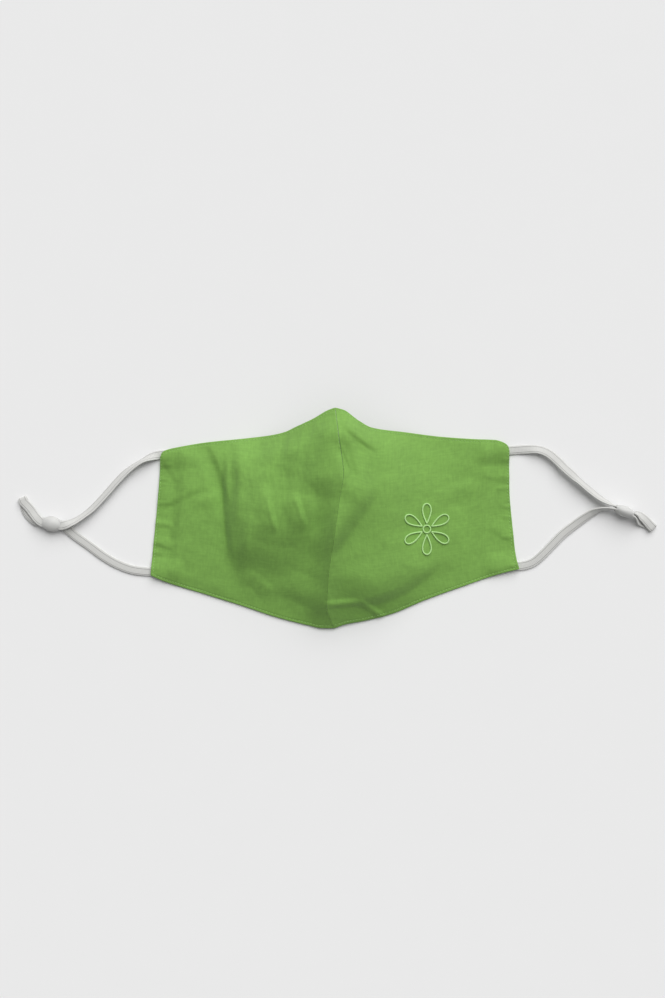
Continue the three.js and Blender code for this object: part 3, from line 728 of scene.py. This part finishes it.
def cotton(settings):
    """Plain-woven dyed cotton: crossing threads with painted shade between them, slubs and a soft
    bloom.
    """
    shader = Shader("dyed_cotton")
    place, across, up = shader.map_place("cloth")
    wander = 0.25 * shader.noise(place, 0.9, 2.0)
    across = across + wander
    up = up + wander
    turn = math.pi / (settings.thread_pitch / MM)
    warp = (across * turn).sine()
    weft = (up * turn).sine()
    weave = 0.3 * abs(warp) + 0.3 * abs(weft) + 0.2 * (warp * weft) + 0.2
    warp_slubs = shader.noise(place, 1.0, 3.0, stretch=(0.9, 9, 1))
    weft_slubs = shader.noise(place, 1.0, 3.0, stretch=(9, 0.9, 1))
    mottling = shader.noise(place, 0.38, 3.0)
    fading = shader.noise(place, 0.045, 3.0)
    slubs = 0.45 * warp_slubs + 0.45 * weft_slubs
    # The weave term paints the gaps between the threads darker: painted shade. Slubs, mottling and
    # fading are random tone.
    tone = 0.35 * weave + slubs + 0.5 * mottling + 0.45 * fading - 0.6
    colour = shader.tint(tone, settings.colour, 0.72, 1.3)
    height = weave + 0.35 * warp_slubs + 0.25 * weft_slubs
    return shader.surface(
        Base_Color=colour,
        Roughness=0.82 + 0.1 * weave,
        Normal=shader.bump(height, 0.06 * MM),
        Sheen_Weight=0.22,
        Sheen_Roughness=0.45,
        Sheen_Tint=(0.8, 1.0, 0.65, 1.0),
    )


def sewing_thread(name, settings):
    """Polished thread with fine fibres."""
    shader = Shader(name)
    place = shader.object_place()
    fibres = shader.noise(place, 900.0, 3.0)
    patches = shader.noise(place, 60.0, 2.0)
    tone = 0.5 * fibres + 0.5 * patches
    return shader.surface(
        Base_Color=shader.tint(tone, settings.colour, 0.75, 1.25),
        Roughness=0.5 + 0.25 * fibres,
        Normal=shader.bump(fibres, 0.08 * MM),
        Sheen_Weight=0.3,
    )


RIB_PITCH = 0.78  # from one lengthwise rib to the next
# The grooves below are sunk in the bump and painted darker in colour: painted shade, as if the
# elastic were creased along its length.
SHADED_GROOVE_SIDE = 0.1  # where the groove lies, from 1 at the edge to -1 in the middle of a face
SHADED_GROOVE_SHARPNESS = 4
CORNER_LOSS = 0.5  # what the rounded corners take off half the way round the strap


def knitted_elastic(settings):
    """Flat knitted elastic: rows of small loops between lengthwise ribs, with painted shade in the
    hollows and grooves.
    """
    shader = Shader("knitted_elastic")
    place, around, along = shader.map_place("strap")
    wander = shader.noise(place, 0.35, 2.0)
    ribs = abs((around * (math.pi / RIB_PITCH)).sine())
    lean = 0.35 * abs((around * (math.pi / (2 * RIB_PITCH))).sine())
    rows = abs(((along + lean + 0.3 * wander) * (math.pi / (settings.knit_pitch / MM))).sine())
    fuzz = shader.noise(place, 6.0, 3.0)
    # Both faces have two grooves, each about halfway from an edge to the middle, sunk in the bump
    # and painted darker as shade.
    half_girth = (settings.width + settings.thickness) / MM - CORNER_LOSS
    side = (around * (2 * math.pi / half_girth) + math.pi / 2).sine()
    groove = (1 - abs(side - SHADED_GROOVE_SIDE) * SHADED_GROOVE_SHARPNESS).at_least(0)
    height = 0.35 * ribs + 0.45 * rows + 0.25 * fuzz - 1.1 * groove + 0.14
    # The colour follows the height: the lower knit and the grooves are painted darker, as painted
    # shade.
    return shader.surface(
        Base_Color=shader.tint(height, settings.colour, 0.7, 1.14),
        Roughness=0.75 + 0.15 * fuzz,
        Normal=shader.bump(height, 0.14 * MM),
        Sheen_Weight=0.25,
        Sheen_Roughness=0.5,
    )


def milky_silicone(settings):
    """Soft moulded silicone with a faint bloom of dust."""
    shader = Shader("milky_silicone")
    place = shader.object_place()
    dust = shader.noise(place, 700.0, 3.0)
    cloud = shader.noise(place, 120.0, 2.0)
    return shader.surface(
        Base_Color=shader.tint(cloud, settings.colour, 0.93, 1.06),
        Roughness=0.42 + 0.2 * dust,
        Normal=shader.bump(dust, 0.02 * MM),
        Subsurface_Weight=0.25,
        Subsurface_Radius=(1.0, 1.0, 1.0),
        Subsurface_Scale=0.0015,
    )


def pale_table(settings):
    """The plain floor, with hardly any grain."""
    shader = Shader("pale_table")
    place = shader.object_place()
    grain = shader.noise(place, 40.0, 2.0)
    colour = shader.tint(grain, settings.floor_colour, 0.995, 1.005)
    return shader.surface(Base_Color=colour, Roughness=0.9)


# ---------------------------------------------------------------- cloth panels

LEFT_CUT_AREA = 0.0133  # square metres
RIGHT_CUT_AREA = 0.0128
CELL = 0.68  # usual size of a cell in the cloth's mesh
EDGE_MARKS = (0, 0.06, 0.16, 0.3, 0.5, 0.75, 1.05, 1.35, 1.65, 2.0, 2.5)  # rings near an edge
EDGE_RADIUS = 0.55  # of the turned edge
SEAM_RADIUS = 0.75  # of the cloth rolling down into the middle seam
SEAM_HALF_GAP = 0.03
PRESSED_SHARE = 0.25  # of SEAM_RADIUS that is left where the seam is pressed flat
PRESSED_TO = 18  # the Y up to which it is pressed, from the chin
PRESSED_FADE = 16  # over which the pressing ends, towards the nose
GROOVE_DEPTH = 0.2  # where the edge stitches pull the cloth in
GROOVE_WIDTH = 0.5

# Soft random creases. A squeeze above 1 draws them out up the panel, and one below 1 across
# it. share is their height, in millimetres or as a share of another height.
Crease = namedtuple("Crease", "wavelength seed squeeze share")

SEAM_RIDGES = Crease(2.6, 11, 0.2, 0.1)  # millimetres, and run out from the middle seam
SEAM_RIDGE_REACH = 3
STITCH_PUCKERS = Crease(2.4, 13, 1, 0.5)  # share of GROOVE_DEPTH
CREASES = [Crease(30, 3, 1, 1), Crease(13, 5, 1, 1), Crease(6, 7, 1.6, 0.4)]  # of the set one
CREASE_BORDER = 6  # over which they fade out at the outer edges
SLACK_X = -42  # the middle of the slackest cloth, where they are highest
SLACK_Y = 28
SLACK_REACH = 24
SLACK_LEAST = 0.7  # of the set crumple height, far from there


def fold_height(folds, x, y):
    """How much the folds raise the cloth at each point."""
    total = np.zeros_like(x)
    for fold in folds:
        dx = fold.x1 - fold.x0
        dy = fold.y1 - fold.y0
        length = math.hypot(dx, dy)
        along = ((x - fold.x0) * dx + (y - fold.y0) * dy) / length**2
        bow = 4 * fold.bow * along * (1 - along)
        sideways = ((y - fold.y0) * dx - (x - fold.x0) * dy) / length - bow
        reach = np.where(sideways > 0, fold.left, fold.right)
        out = np.minimum(np.abs(sideways) / reach, 1)
        ends = smooth_step(along / FOLD_END_SHARE) * smooth_step((1 - along) / FOLD_END_SHARE)
        total += fold.rise * ends * (1 - out**2) ** 2
    return total


def side_gathers(side, hand):
    """The small puckers that run in from a side edge, unevenly spaced."""
    chance = random.Random(GATHERS + hand)
    folds = []
    for k in range(GATHERS):
        share = (k + 0.5 + chance.uniform(-0.3, 0.3)) / GATHERS
        x, y = line_at(side, share)
        length = GATHER_LENGTH * chance.uniform(0.7, 1.5)
        fall = length * chance.uniform(-0.25, 0.25)
        rise = GATHER_RISE * chance.uniform(0.5, 1.2)
        end_x = x - hand * length
        start_x = x + hand * length / 3
        folds.append(Fold("gather", start_x, y, end_x, y + fall, 0, rise, *GATHER_REACH))
    return folds


def rounded(distance, radius):
    """How far a rounded edge has dropped, at a distance in from it."""
    inward = np.clip(1 - distance / radius, 0, 1)
    return radius * (1 - np.sqrt(1 - inward**2))


def grid_shares(length):
    """Shares from 0 to 1 across a panel, crowded near both ends."""
    near = np.array(EDGE_MARKS)
    count = round((length - 2 * near[-1]) / CELL)
    middle = np.linspace(near[-1], length - near[-1], count + 1)
    return np.concatenate([near[:-1], middle, length - near[-2::-1]]) / length


class ClothPanel:
    """One half of the mask, from its side edge (u 0) to the seam (u 1), chin (v 0) to nose."""

    def __init__(self, side, nose, chin, sections, hand):
        self.side = side
        self.nose = nose
        self.chin = chin
        self.sections = sections
        self.hand = hand

    def plan(self, u, v):
        """Where the outline's four lines, blended, put a point of the cloth in plan."""
        u, v = np.broadcast_arrays(np.asarray(u, float), np.asarray(v, float))
        edges = (self.chin, self.nose)
        corners = {(a, b): line_at(edges[b], a) for a in (0, 1) for b in (0, 1)}
        wide = u[..., None]
        high = v[..., None]
        point = (1 - wide) * line_at(self.side, v) + wide * line_at(MIDDLE_SEAM, v)
        point = point + (1 - high) * line_at(self.chin, u) + high * line_at(self.nose, u)
        for (a, b), corner in corners.items():
            point = point - (wide if a else 1 - wide) * (high if b else 1 - high) * corner
        point[..., 0] += self.hand * SEAM_HALF_GAP * u
        return point

    def lengths(self, u, v):
        """The panel's length across and up, through each point."""
        across = np.linalg.norm(line_at(MIDDLE_SEAM, v) - line_at(self.side, v), axis=-1)
        up = np.linalg.norm(line_at(self.nose, u) - line_at(self.chin, u), axis=-1)
        return across, up

    def height(self, u, v):
        """The smooth height of the outer face, before its folds."""
        across = [row.across for row in self.sections]
        heights = np.array([row.heights for row in self.sections])
        columns = [follow(across, heights[:, k], u) for k in range(len(SECTION_SHARES))]
        return follow(SECTION_SHARES, np.stack(columns, -1), v)

    def edge_line(self, inset, step):
        """Points in plan a set distance in from the chin, side and nose edges, in turn."""
        ends = np.linspace(0, 1, 8)
        across, up = self.lengths(ends, ends)
        count = round(float(across.mean()) / step)
        chin_u = np.linspace(1, inset / across[0], count)
        nose_u = np.linspace(inset / across[-1], 1, count)
        side_v = np.linspace(inset / up[0], 1 - inset / up[0], round(up[0] / step))
        chin = self.plan(chin_u, inset / self.lengths(chin_u, chin_u)[1])
        side = self.plan(inset / self.lengths(side_v, side_v)[0], side_v)
        nose = self.plan(nose_u, 1 - inset / self.lengths(nose_u, nose_u)[1])
        return np.concatenate([chin, side, nose])


LEFT_PANEL = ClothPanel(LEFT_SIDE, LEFT_NOSE, LEFT_CHIN, LEFT_SECTIONS, -1)
RIGHT_PANEL = ClothPanel(RIGHT_SIDE, RIGHT_NOSE, RIGHT_CHIN, RIGHT_SECTIONS, 1)


def cloth_surface(panel, u, v, cloth, stitches):
    """The outer and inner face of a panel as two grids of points, and its weave map."""
    wall = cloth.wall / MM
    plan = panel.plan(u, v)
    x = plan[..., 0]
    y = plan[..., 1]
    across, up = panel.lengths(u, v)
    side = u * across
    seam = (1 - u) * across
    border = np.minimum(side, np.minimum(v * up, (1 - v) * up))

    smooth = panel.height(u, v) + fold_height(MAIN_FOLDS, x, y) + fold_height(FINE_FOLDS, x, y)
    smooth = smooth + fold_height(side_gathers(panel.side, panel.hand), x, y)
    creases = sum(creased(row, x, y) for row in CREASES)
    away = ((x - SLACK_X) / SLACK_REACH) ** 2 + ((y - SLACK_Y) / SLACK_REACH) ** 2
    slack = SLACK_LEAST + np.exp(-away)
    smooth = smooth + creases * slack * cloth.crumple / MM * smooth_step(border / CREASE_BORDER)
    smooth = np.maximum(smooth, wall)

    stand = np.stack([x, y, smooth], -1)
    normal = units(np.cross(np.gradient(stand, axis=0), np.gradient(stand, axis=1)))
    inner = np.maximum(smooth - wall / np.abs(normal[..., 2]), 0)

    ridges = creased(SEAM_RIDGES, x, y) * np.exp(-seam / SEAM_RIDGE_REACH)
    groove = np.exp(-(((border - stitches.inset / MM) / GROOVE_WIDTH) ** 2))
    puckers = 1 + creased(STITCH_PUCKERS, x, y)
    outer = smooth + ridges - GROOVE_DEPTH * groove * puckers
    pressed = 1 - smooth_step((y - PRESSED_TO) / PRESSED_FADE)
    roll = SEAM_RADIUS * (1 - (1 - PRESSED_SHARE) * pressed)
    outer = outer - rounded(border, EDGE_RADIUS) - rounded(seam, roll)
    inner = inner + rounded(border, EDGE_RADIUS) + rounded(seam, EDGE_RADIUS)
    weave = np.stack([panel.hand * side, (v - 0.5) * up], -1)
    return np.stack([x, y, outer], -1), np.stack([x, y, inner], -1), weave


def panel_mesh(outer, inner):
    """Points and faces of the closed wall between two grids."""
    rows, columns = outer.shape[:2]
    layer = rows * columns
    points = np.concatenate([outer.reshape(-1, 3), inner.reshape(-1, 3)])
    number = np.arange(layer).reshape(rows, columns)
    quads = np.stack([number[:-1, :-1], number[1:, :-1], number[1:, 1:], number[:-1, 1:]], -1)
    quads = quads.reshape(-1, 4)
    rim = np.concatenate([number[:-1, 0], number[-1, :-1], number[:0:-1, -1], number[0, :0:-1]])
    after = np.roll(rim, -1)
    sides = np.stack([after, rim, rim + layer, after + layer], -1)
    faces = np.concatenate([quads, quads[:, ::-1] + layer, sides])
    return points, faces.tolist()


def cloth_piece(name, node, panel, settings, material):
    """One sewn panel, standing for its solid."""
    across, up = panel.lengths(np.linspace(0, 1, 9), np.linspace(0, 1, 9))
    u = grid_shares(float(across.mean()))[:, None]
    v = grid_shares(float(up.mean()))[None, :]
    u, v = np.broadcast_arrays(u, v)
    outer, inner, weave = cloth_surface(panel, u, v, settings.cloth, settings.stitches)
    points, faces = panel_mesh(outer, inner)
    flat = weave.reshape(-1, 2)
    piece = make_piece(name, points, faces, material, {"cloth": np.tile(flat, (2, 1))})
    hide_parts(node)
    return piece


# ---------------------------------------------------------------- thread on the cloth

THREAD_STEP = 0.3  # between the points of a line of thread
STITCH_RINGS = 7
STITCH_SIDES = 8
STITCH_LENGTH_SHARE = 0.7  # of the pitch that shows between two needle holes
STITCH_FLATNESS = 4  # how level a stitch's middle is, and how sharply its ends turn down
STITCH_TIP = 0.25  # least radius at an end; these three are shares of the thread's radius
STITCH_RISE = 0.7  # of the stitch's middle above the cloth
STITCH_DIP = 1.7  # how far its ends are below its middle
RAY_START = 0.2  # metres above and below the table, where the search for the cloth starts
TABLE_CLEARANCE = 0.5  # cloth nearer to the table than this has no raised thread beneath
SHORTEST_STRETCH = 12  # points; a shorter stretch beneath has no stitches


class ClothFinder:
    """Finds the face of a panel over or under a point in plan."""

    def __init__(self, piece):
        mesh = piece.data
        corners = [vertex.co.copy() for vertex in mesh.vertices]
        self.tree = BVHTree.FromPolygons(corners, [face.vertices[:] for face in mesh.polygons])

    def over(self, line):
        """The line laid on the outer face: its points and the cloth's normals."""
        down = Vector((0, 0, -1))
        found = [self.tree.ray_cast(Vector((x * MM, y * MM, RAY_START)), down) for x, y in line]
        found = [hit for hit in found if hit[0] is not None]
        return np.array([hit[0] for hit in found]) / MM, np.array([hit[1] for hit in found])

    def under(self, line):
        """The stretches of the line on the inner face that are clear of the table."""
        up = Vector((0, 0, 1))
        stretches = [[]]
        for x, y in line:
            place, normal, _, _ = self.tree.ray_cast(Vector((x * MM, y * MM, -RAY_START)), up)
            if place is not None and place.z > TABLE_CLEARANCE * MM:
                stretches[-1].append((place / MM, normal))
            elif stretches[-1]:
                stretches.append([])
        for stretch in stretches:
            if len(stretch) > SHORTEST_STRETCH:
                places, normals = zip(*stretch)
                yield np.array(places), np.array(normals)


def walk(points, pitch):
    """Places along a line of points, one pitch apart: each one's index and a unit way along."""
    distance = distances(points)
    marks = np.arange(pitch, distance[-1] - pitch, pitch)
    index = np.clip(np.searchsorted(distance, marks), 2, len(points) - 3)
    way = points[index + 2] - points[index - 2]
    return index, units(way)


def stitch_row(points, normals, settings):
    """Points and faces of a row of stitches, each dipping into the cloth at both ends."""
    pitch = settings.pitch / MM
    radius = settings.thickness / MM / 2
    index, way = walk(points, pitch)
    up = normals[index]
    beside = units(np.cross(up, way))
    turn = turns(STITCH_SIDES)
    rings = []
    for share in np.linspace(-1, 1, STITCH_RINGS):
        bend = share**STITCH_FLATNESS
        size = radius * max(STITCH_TIP, 1 - bend)
        middle = points[index] + way * share * pitch * STITCH_LENGTH_SHARE / 2
        middle = middle + up * radius * (STITCH_RISE - STITCH_DIP * bend)
        rings.append(swept(middle, beside, up, size * np.cos(turn), size * np.sin(turn)))
    block = np.stack(rings, 1).reshape(-1, 3)
    size = STITCH_RINGS * STITCH_SIDES
    faces = []
    for k in range(len(index)):
        faces += tube_faces(STITCH_RINGS, STITCH_SIDES, k * size)
    return block, faces


def join(parts):
    """Several lists of points and faces as one."""
    points = []
    faces = []
    count = 0
    for part_points, part_faces in parts:
        points.append(part_points)
        faces += [tuple(corner + count for corner in face) for face in part_faces]
        count += len(part_points)
    return np.concatenate(points), faces


def edge_stitches(name, panel, piece, settings, material):
    """The row of stitches round a panel's outer edges, seen on both faces."""
    finder = ClothFinder(piece)
    line = panel.edge_line(settings.inset / MM, THREAD_STEP)
    rows = [stitch_row(*finder.over(line), settings)]
    rows += [stitch_row(points, normals, settings) for points, normals in finder.under(line)]
    points, faces = join(rows)
    return make_piece(name, points, faces, material)


# ---------------------------------------------------------------- embroidered flower

PETAL_START = 3.4  # from the flower's middle to where a petal's two sides meet
PETAL_HALF_WIDTH = 3.6
PETAL_POINT = 1.2  # above 0, it narrows a petal towards the flower's middle
RING_RADIUS = 2.3
PLY_TURNS = 0.62  # turns of the two plies in each millimetre
PLY_SIDES = 7
PLY_RADIUS = 0.3  # these three are shares of the thread's thickness
PLY_OFFSET = 0.2  # from the middle of the thread to a ply's
THREAD_RISE = 0.4  # of the middle of the thread above the cloth


def petal(reach, turn, count=90):
    """A looped petal in plan, pointing along turn."""
    along = np.linspace(0, 2 * math.pi, count)
    outward_way = PETAL_START + (reach - PETAL_START) * (1 - np.cos(along)) / 2
    sideways = PETAL_HALF_WIDTH * np.sin(along) * np.sin(along / 2) ** PETAL_POINT
    x = outward_way * math.cos(turn) - sideways * math.sin(turn)
    y = outward_way * math.sin(turn) + sideways * math.cos(turn)
    return np.stack([x, y], -1)


def ring(radius, count=60):
    """The small round middle of the flower."""
    turn = np.linspace(0, 2 * math.pi, count)
    return radius * np.stack([np.cos(turn), np.sin(turn)], -1)


def twisted_thread(points, normals, thickness):
    """Two plies wound round each other along a line laid on the cloth."""
    way = units(np.gradient(points, axis=0))
    beside = units(np.cross(normals, way))
    up = np.cross(way, beside)
    distance = distances(points)
    turn = turns(PLY_SIDES)
    ply = thickness * PLY_RADIUS
    offset = thickness * PLY_OFFSET
    parts = []
    for start in (0, math.pi):
        angle = 2 * math.pi * PLY_TURNS * distance + start
        sway = offset * np.cos(angle)[:, None] * beside
        lift = offset * np.sin(angle)[:, None] * up
        middle = points + up * thickness * THREAD_RISE + sway + lift
        rings = swept(middle, beside, up, ply * np.cos(turn), ply * np.sin(turn))
        parts.append((rings.reshape(-1, 3), tube_faces(len(points), PLY_SIDES)))
    return parts


def even(line, step):
    """The line again, with its points a step apart."""
    distance = distances(line)
    marks = np.linspace(0, distance[-1], max(2, round(distance[-1] / step)))
    return np.stack([np.interp(marks, distance, line[:, k]) for k in range(line.shape[1])], -1)


def flower(name, piece, settings, material):
    """Outlined petals round a small ring, in twisted thread."""
    finder = ClothFinder(piece)
    centre = np.array(settings.centre) / MM
    lines = [ring(RING_RADIUS)]
    for k in range(settings.petals):
        turn = math.pi / 2 + 2 * math.pi * k / settings.petals
        lines.append(petal(settings.reach / MM, turn))
    parts = []
    for line in lines:
        points, normals = finder.over(even(line, THREAD_STEP) + centre)
        parts += twisted_thread(points, normals, settings.thickness / MM)
    points, faces = join(parts)
    return make_piece(name, points, faces, material)


# ---------------------------------------------------------------- straps


def curve_through(rows, places):
    """The points in plan at each place (a row number and a fraction) on a curve through rows."""
    knots = np.array([(row.x, row.y) for row in rows], float)
    first = 2 * knots[0] - knots[1]
    last = 2 * knots[-1] - knots[-2]
    knots = np.concatenate([[first], knots, [last]])
    index = np.minimum(places.astype(int), len(rows) - 2)
    t = (places - index)[:, None]
    p0, p1, p2, p3 = (knots[index + k] for k in range(4))
    spans = ((p0, p1), (p1, p2), (p2, p3))
    d0, d1, d2 = (np.linalg.norm(b - a, axis=1, keepdims=True) ** 0.5 for a, b in spans)
    leave = d1 * ((p1 - p0) / d0 - (p2 - p0) / (d0 + d1) + (p2 - p1) / d1)
    arrive = d1 * ((p2 - p1) / d1 - (p3 - p1) / (d1 + d2) + (p3 - p2) / d2)
    square = -3 * p1 + 3 * p2 - 2 * leave - arrive
    cube = 2 * p1 - 2 * p2 + leave + arrive
    return p1 + leave * t + square * t**2 + cube * t**3


def strap_route(rows, settings):
    """The middle of a strap and the way its width points, a short step apart along its rows."""
    places = []
    for i, (row, following) in enumerate(zip(rows, rows[1:])):
        length = math.hypot(following.x - row.x, following.y - row.y)
        steps = max(2, round(length / STRAP_STEP))
        places += [i + k / steps for k in range(steps)]
    places = np.array([*places, len(rows) - 1])
    numbers = np.arange(len(rows))
    plan = curve_through(rows, places)
    lift = follow(numbers, [row.lift for row in rows], places)
    roll = np.radians(follow(numbers, [row.roll for row in rows], places))
    half = settings.width / MM / 2 * np.abs(np.sin(roll))
    half = half + settings.thickness / MM / 2 * np.abs(np.cos(roll))
    route = np.column_stack([plan, lift + half])
    way = units(np.gradient(route, axis=0))
    level = units(np.cross([0, 0, 1], way))
    upright = np.cross(way, level)
    return route, np.cos(roll)[:, None] * level + np.sin(roll)[:, None] * upright


def folded_strap(out, back, settings):
    """A strap that turns back under itself at its tip."""
    top, top_wide = strap_route(out, settings)
    bottom, bottom_wide = strap_route(back, settings)
    heading = top[-1] - top[-4] + bottom[0] - bottom[3]
    heading[2] = 0
    heading = units(heading)
    middle = (top[-1] + bottom[0]) / 2
    arm = (top[-1] - bottom[0]) / 2
    turn = math.pi * np.arange(1, TIP_STEPS)[:, None] / TIP_STEPS
    tip = middle + arm * np.cos(turn) + heading * np.linalg.norm(arm) * np.sin(turn)
    tip_wide = np.tile(units(np.cross(arm, heading)), (len(tip), 1))
    return np.concatenate([top, tip, bottom]), np.concatenate([top_wide, tip_wide, -bottom_wide])


def strap_piece(name, node, route, wide, settings, material):
    """The elastic along its route, standing for its solid."""
    section = rounded_oblong(STRAP_SIDES, STRAP_POWER, settings.width, settings.thickness)
    across, through = section.T
    way = units(np.gradient(route, axis=0))
    high = units(np.cross(way, wide))
    wide = np.cross(high, way)
    points = swept(route, wide, high, across, through).reshape(-1, 3)
    places = np.stack(np.meshgrid(distances(section), distances(route)), -1).reshape(-1, 2)
    faces = tube_faces(len(route), STRAP_SIDES)
    piece = make_piece(name, points, faces, material, {"strap": places})
    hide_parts(node)
    return piece


def declare_loop(route, settings):
    """Works out how long the loop is."""
    path = route * MM
    length = float(distances(path)[-1])


# ---------------------------------------------------------------- beads

BEAD_SIDES = 72
BEAD_RINGS = 30
BEAD_END_SHARE = 0.62  # size of the bead's ends compared with its middle
LIP_RINGS = 7
LIP_DEPTH = 0.35  # how far the rounded lip stands beyond the end's edge
SLOT_RINGS = 10
SLOT_POWER = 0.5  # how square the slot is


def bead_piece(name, node, bead, settings, material):
    """A barrel-shaped bead with a rounded slot right through it."""
    oval = rounded_oblong(BEAD_SIDES, 1, settings.width, settings.height)
    slot = rounded_oblong(BEAD_SIDES, SLOT_POWER, settings.slot_width, settings.slot_height)
    half = settings.length / MM / 2
    rings = []

    def add_ring(along, section):
        rings.append(np.column_stack([np.full(BEAD_SIDES, along), section]))

    def lip(end):
        for share in np.linspace(0, 1, LIP_RINGS + 2)[1:-1]:
            blend = share if end > 0 else 1 - share
            edge = (1 - blend) * BEAD_END_SHARE * oval + blend * slot
            add_ring(end * (half - LIP_DEPTH + LIP_DEPTH * math.sin(math.pi * share)), edge)

    reach = half - LIP_DEPTH
    for share in np.linspace(-1, 1, BEAD_RINGS):
        size = BEAD_END_SHARE + (1 - BEAD_END_SHARE) * (1 - share**2)
        add_ring(share * reach, size * oval)
    lip(1)
    for share in np.linspace(1, -1, SLOT_RINGS):
        add_ring(share * reach, slot)
    lip(-1)
    points = np.concatenate(rings)
    faces = ring_faces(len(rings), BEAD_SIDES, looped=True)
    heading = Matrix.Rotation(math.radians(bead.heading), 3, "Z")
    placed = np.array(heading @ Matrix.Rotation(math.radians(bead.roll), 3, "X"))
    points = points @ placed.T + [bead.x, bead.y, bead.z]
    piece = make_piece(name, points, faces, material)
    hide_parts(node)
    return piece


# ---------------------------------------------------------------- operators

FLOOR_REACH = 3.0  # metres from the middle out to each side of the floor
FLOOR_DROP = 0.05 * MM  # keeps the floor clear of the faces that lie on it
SQUARE = ((-1, -1), (1, -1), (1, 1), (-1, 1))


class MASK_OT_stage(bpy.types.Operator):
    """Lay the floor and set up the camera and the lights"""

    bl_idname = "face_mask.stage"
    bl_label = "Stage"

    def execute(self, context):
        settings = context.scene.face_mask.stage
        scene = context.scene
        scene.view_settings.view_transform = "Standard"

        camera_data = bpy.data.cameras.new("camera")
        camera_data.lens = settings.lens
        camera_data.clip_end = 20
        scene.camera = add_object("camera", camera_data)
        scene.camera.location = settings.camera_place

        mesh = bpy.data.meshes.new("floor")
        corners = [(x * FLOOR_REACH, y * FLOOR_REACH, 0) for x, y in SQUARE]
        mesh.from_pydata(corners, [], [(0, 1, 2, 3)])
        mesh.materials.append(pale_table(settings))
        floor = add_object("floor", mesh)
        floor.location.z = -FLOOR_DROP
        floor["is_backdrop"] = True

        sun_data = bpy.data.lights.new("main_light", "SUN")
        sun_data.energy = settings.key_power
        sun_data.angle = settings.key_spread
        sun = add_object("main_light", sun_data)
        # A sun shines down its own Z axis, so its Z points at where the light comes from.
        azimuth, height = settings.key_azimuth, settings.key_height
        level = math.cos(height)
        source = (level * math.cos(azimuth), level * math.sin(azimuth), math.sin(height))
        sun.rotation_euler = Vector(source).to_track_quat("Z", "Y").to_euler()

        world = bpy.data.worlds.new("studio")
        world.use_nodes = True
        background = world.node_tree.nodes["Background"]
        background.inputs["Color"].default_value = (1, 1, 1, 1)
        background.inputs["Strength"].default_value = settings.surround
        scene.world = world
        return {"FINISHED"}


class MASK_OT_ear_loops(bpy.types.Operator):
    """Make both elastic ear loops and the adjuster bead on each"""

    bl_idname = "face_mask.ear_loops"
    bl_label = "Ear loops and adjusters"

    def execute(self, context):
        settings = context.scene.face_mask
        elastic = knitted_elastic(settings.loops)
        silicone = milky_silicone(settings.beads)
        left = folded_strap(LEFT_STRAP_OUT, LEFT_STRAP_BACK, settings.loops)
        right = folded_strap(RIGHT_STRAP_OUT, RIGHT_STRAP_BACK, settings.loops)
        for hand, (route, wide), bead in (("left", left, LEFT_BEAD), ("right", right, RIGHT_BEAD)):
            loop = strap_piece(
                f"{hand}_ear_elastic", f"ear_loop_{hand}", route, wide, settings.loops, elastic
            )
            adjuster = bead_piece(
                f"{hand}_silicone_bead", f"adjuster_{hand}", bead, settings.beads, silicone
            )
            declare_loop(route, settings.loops)
        return {"FINISHED"}


class MASK_OT_cloth(bpy.types.Operator):
    """Make both cloth panels with their edge stitches"""

    bl_idname = "face_mask.cloth"
    bl_label = "Cloth panels"

    def execute(self, context):
        settings = context.scene.face_mask
        fabric = cotton(settings.cloth)
        thread = sewing_thread("sewing_thread", settings.stitches)
        halves = (("left", LEFT_PANEL, LEFT_CUT_AREA), ("right", RIGHT_PANEL, RIGHT_CUT_AREA))
        for hand, panel, cut_area in halves:
            piece = cloth_piece(f"{hand}_cloth", f"panel_{hand}", panel, settings, fabric)
            row = edge_stitches(f"{hand}_edge_stitches", panel, piece, settings.stitches, thread)
        return {"FINISHED"}


class MASK_OT_flower(bpy.types.Operator):
    """Embroider the flower on the right panel"""

    bl_idname = "face_mask.flower"
    bl_label = "Embroidered flower"

    def execute(self, context):
        settings = context.scene.face_mask
        cloth = bpy.data.objects["right_cloth"]
        thread = sewing_thread("embroidery_thread", settings.motif)
        flower("flower_embroidery", cloth, settings.motif, thread)
        return {"FINISHED"}


class MASK_PT_pieces(bpy.types.Panel):
    """Lists the steps that make the mask, with the main settings of each"""

    bl_idname = "MASK_PT_pieces"
    bl_label = "Face Mask"
    bl_space_type = "VIEW_3D"
    bl_region_type = "UI"
    bl_category = "Face Mask"

    def draw(self, context):
        settings = context.scene.face_mask
        groups = (
            (MASK_OT_stage, settings.stage),
            (MASK_OT_ear_loops, settings.loops),
            (MASK_OT_cloth, settings.cloth),
            (MASK_OT_flower, settings.motif),
        )
        for operator, group in groups:
            box = self.layout.box()
            box.operator(operator.bl_idname)
            for name in group.bl_rna.properties.keys():
                if name not in ("rna_type", "name"):
                    box.prop(group, name)


CLASSES = (
    ClothSettings,
    StitchSettings,
    MotifSettings,
    LoopSettings,
    BeadSettings,
    StageSettings,
    FaceMaskSettings,
    MASK_OT_stage,
    MASK_OT_ear_loops,
    MASK_OT_cloth,
    MASK_OT_flower,
    MASK_PT_pieces,
)


def register():
    for cls in CLASSES:
        bpy.utils.register_class(cls)
    bpy.types.Scene.face_mask = PointerProperty(type=FaceMaskSettings)


def unregister():
    del bpy.types.Scene.face_mask
    for cls in reversed(CLASSES):
        bpy.utils.unregister_class(cls)


def main():
    register()
    bpy.ops.face_mask.stage()
    bpy.ops.face_mask.ear_loops()
    bpy.ops.face_mask.cloth()
    bpy.ops.face_mask.flower()
    sizes = {"frame": FRAME_BOUNDS, "visual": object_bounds()}
    plain = {name: [list(corner) for corner in box] for name, box in sizes.items()}


if __name__ == "__main__":
    main()
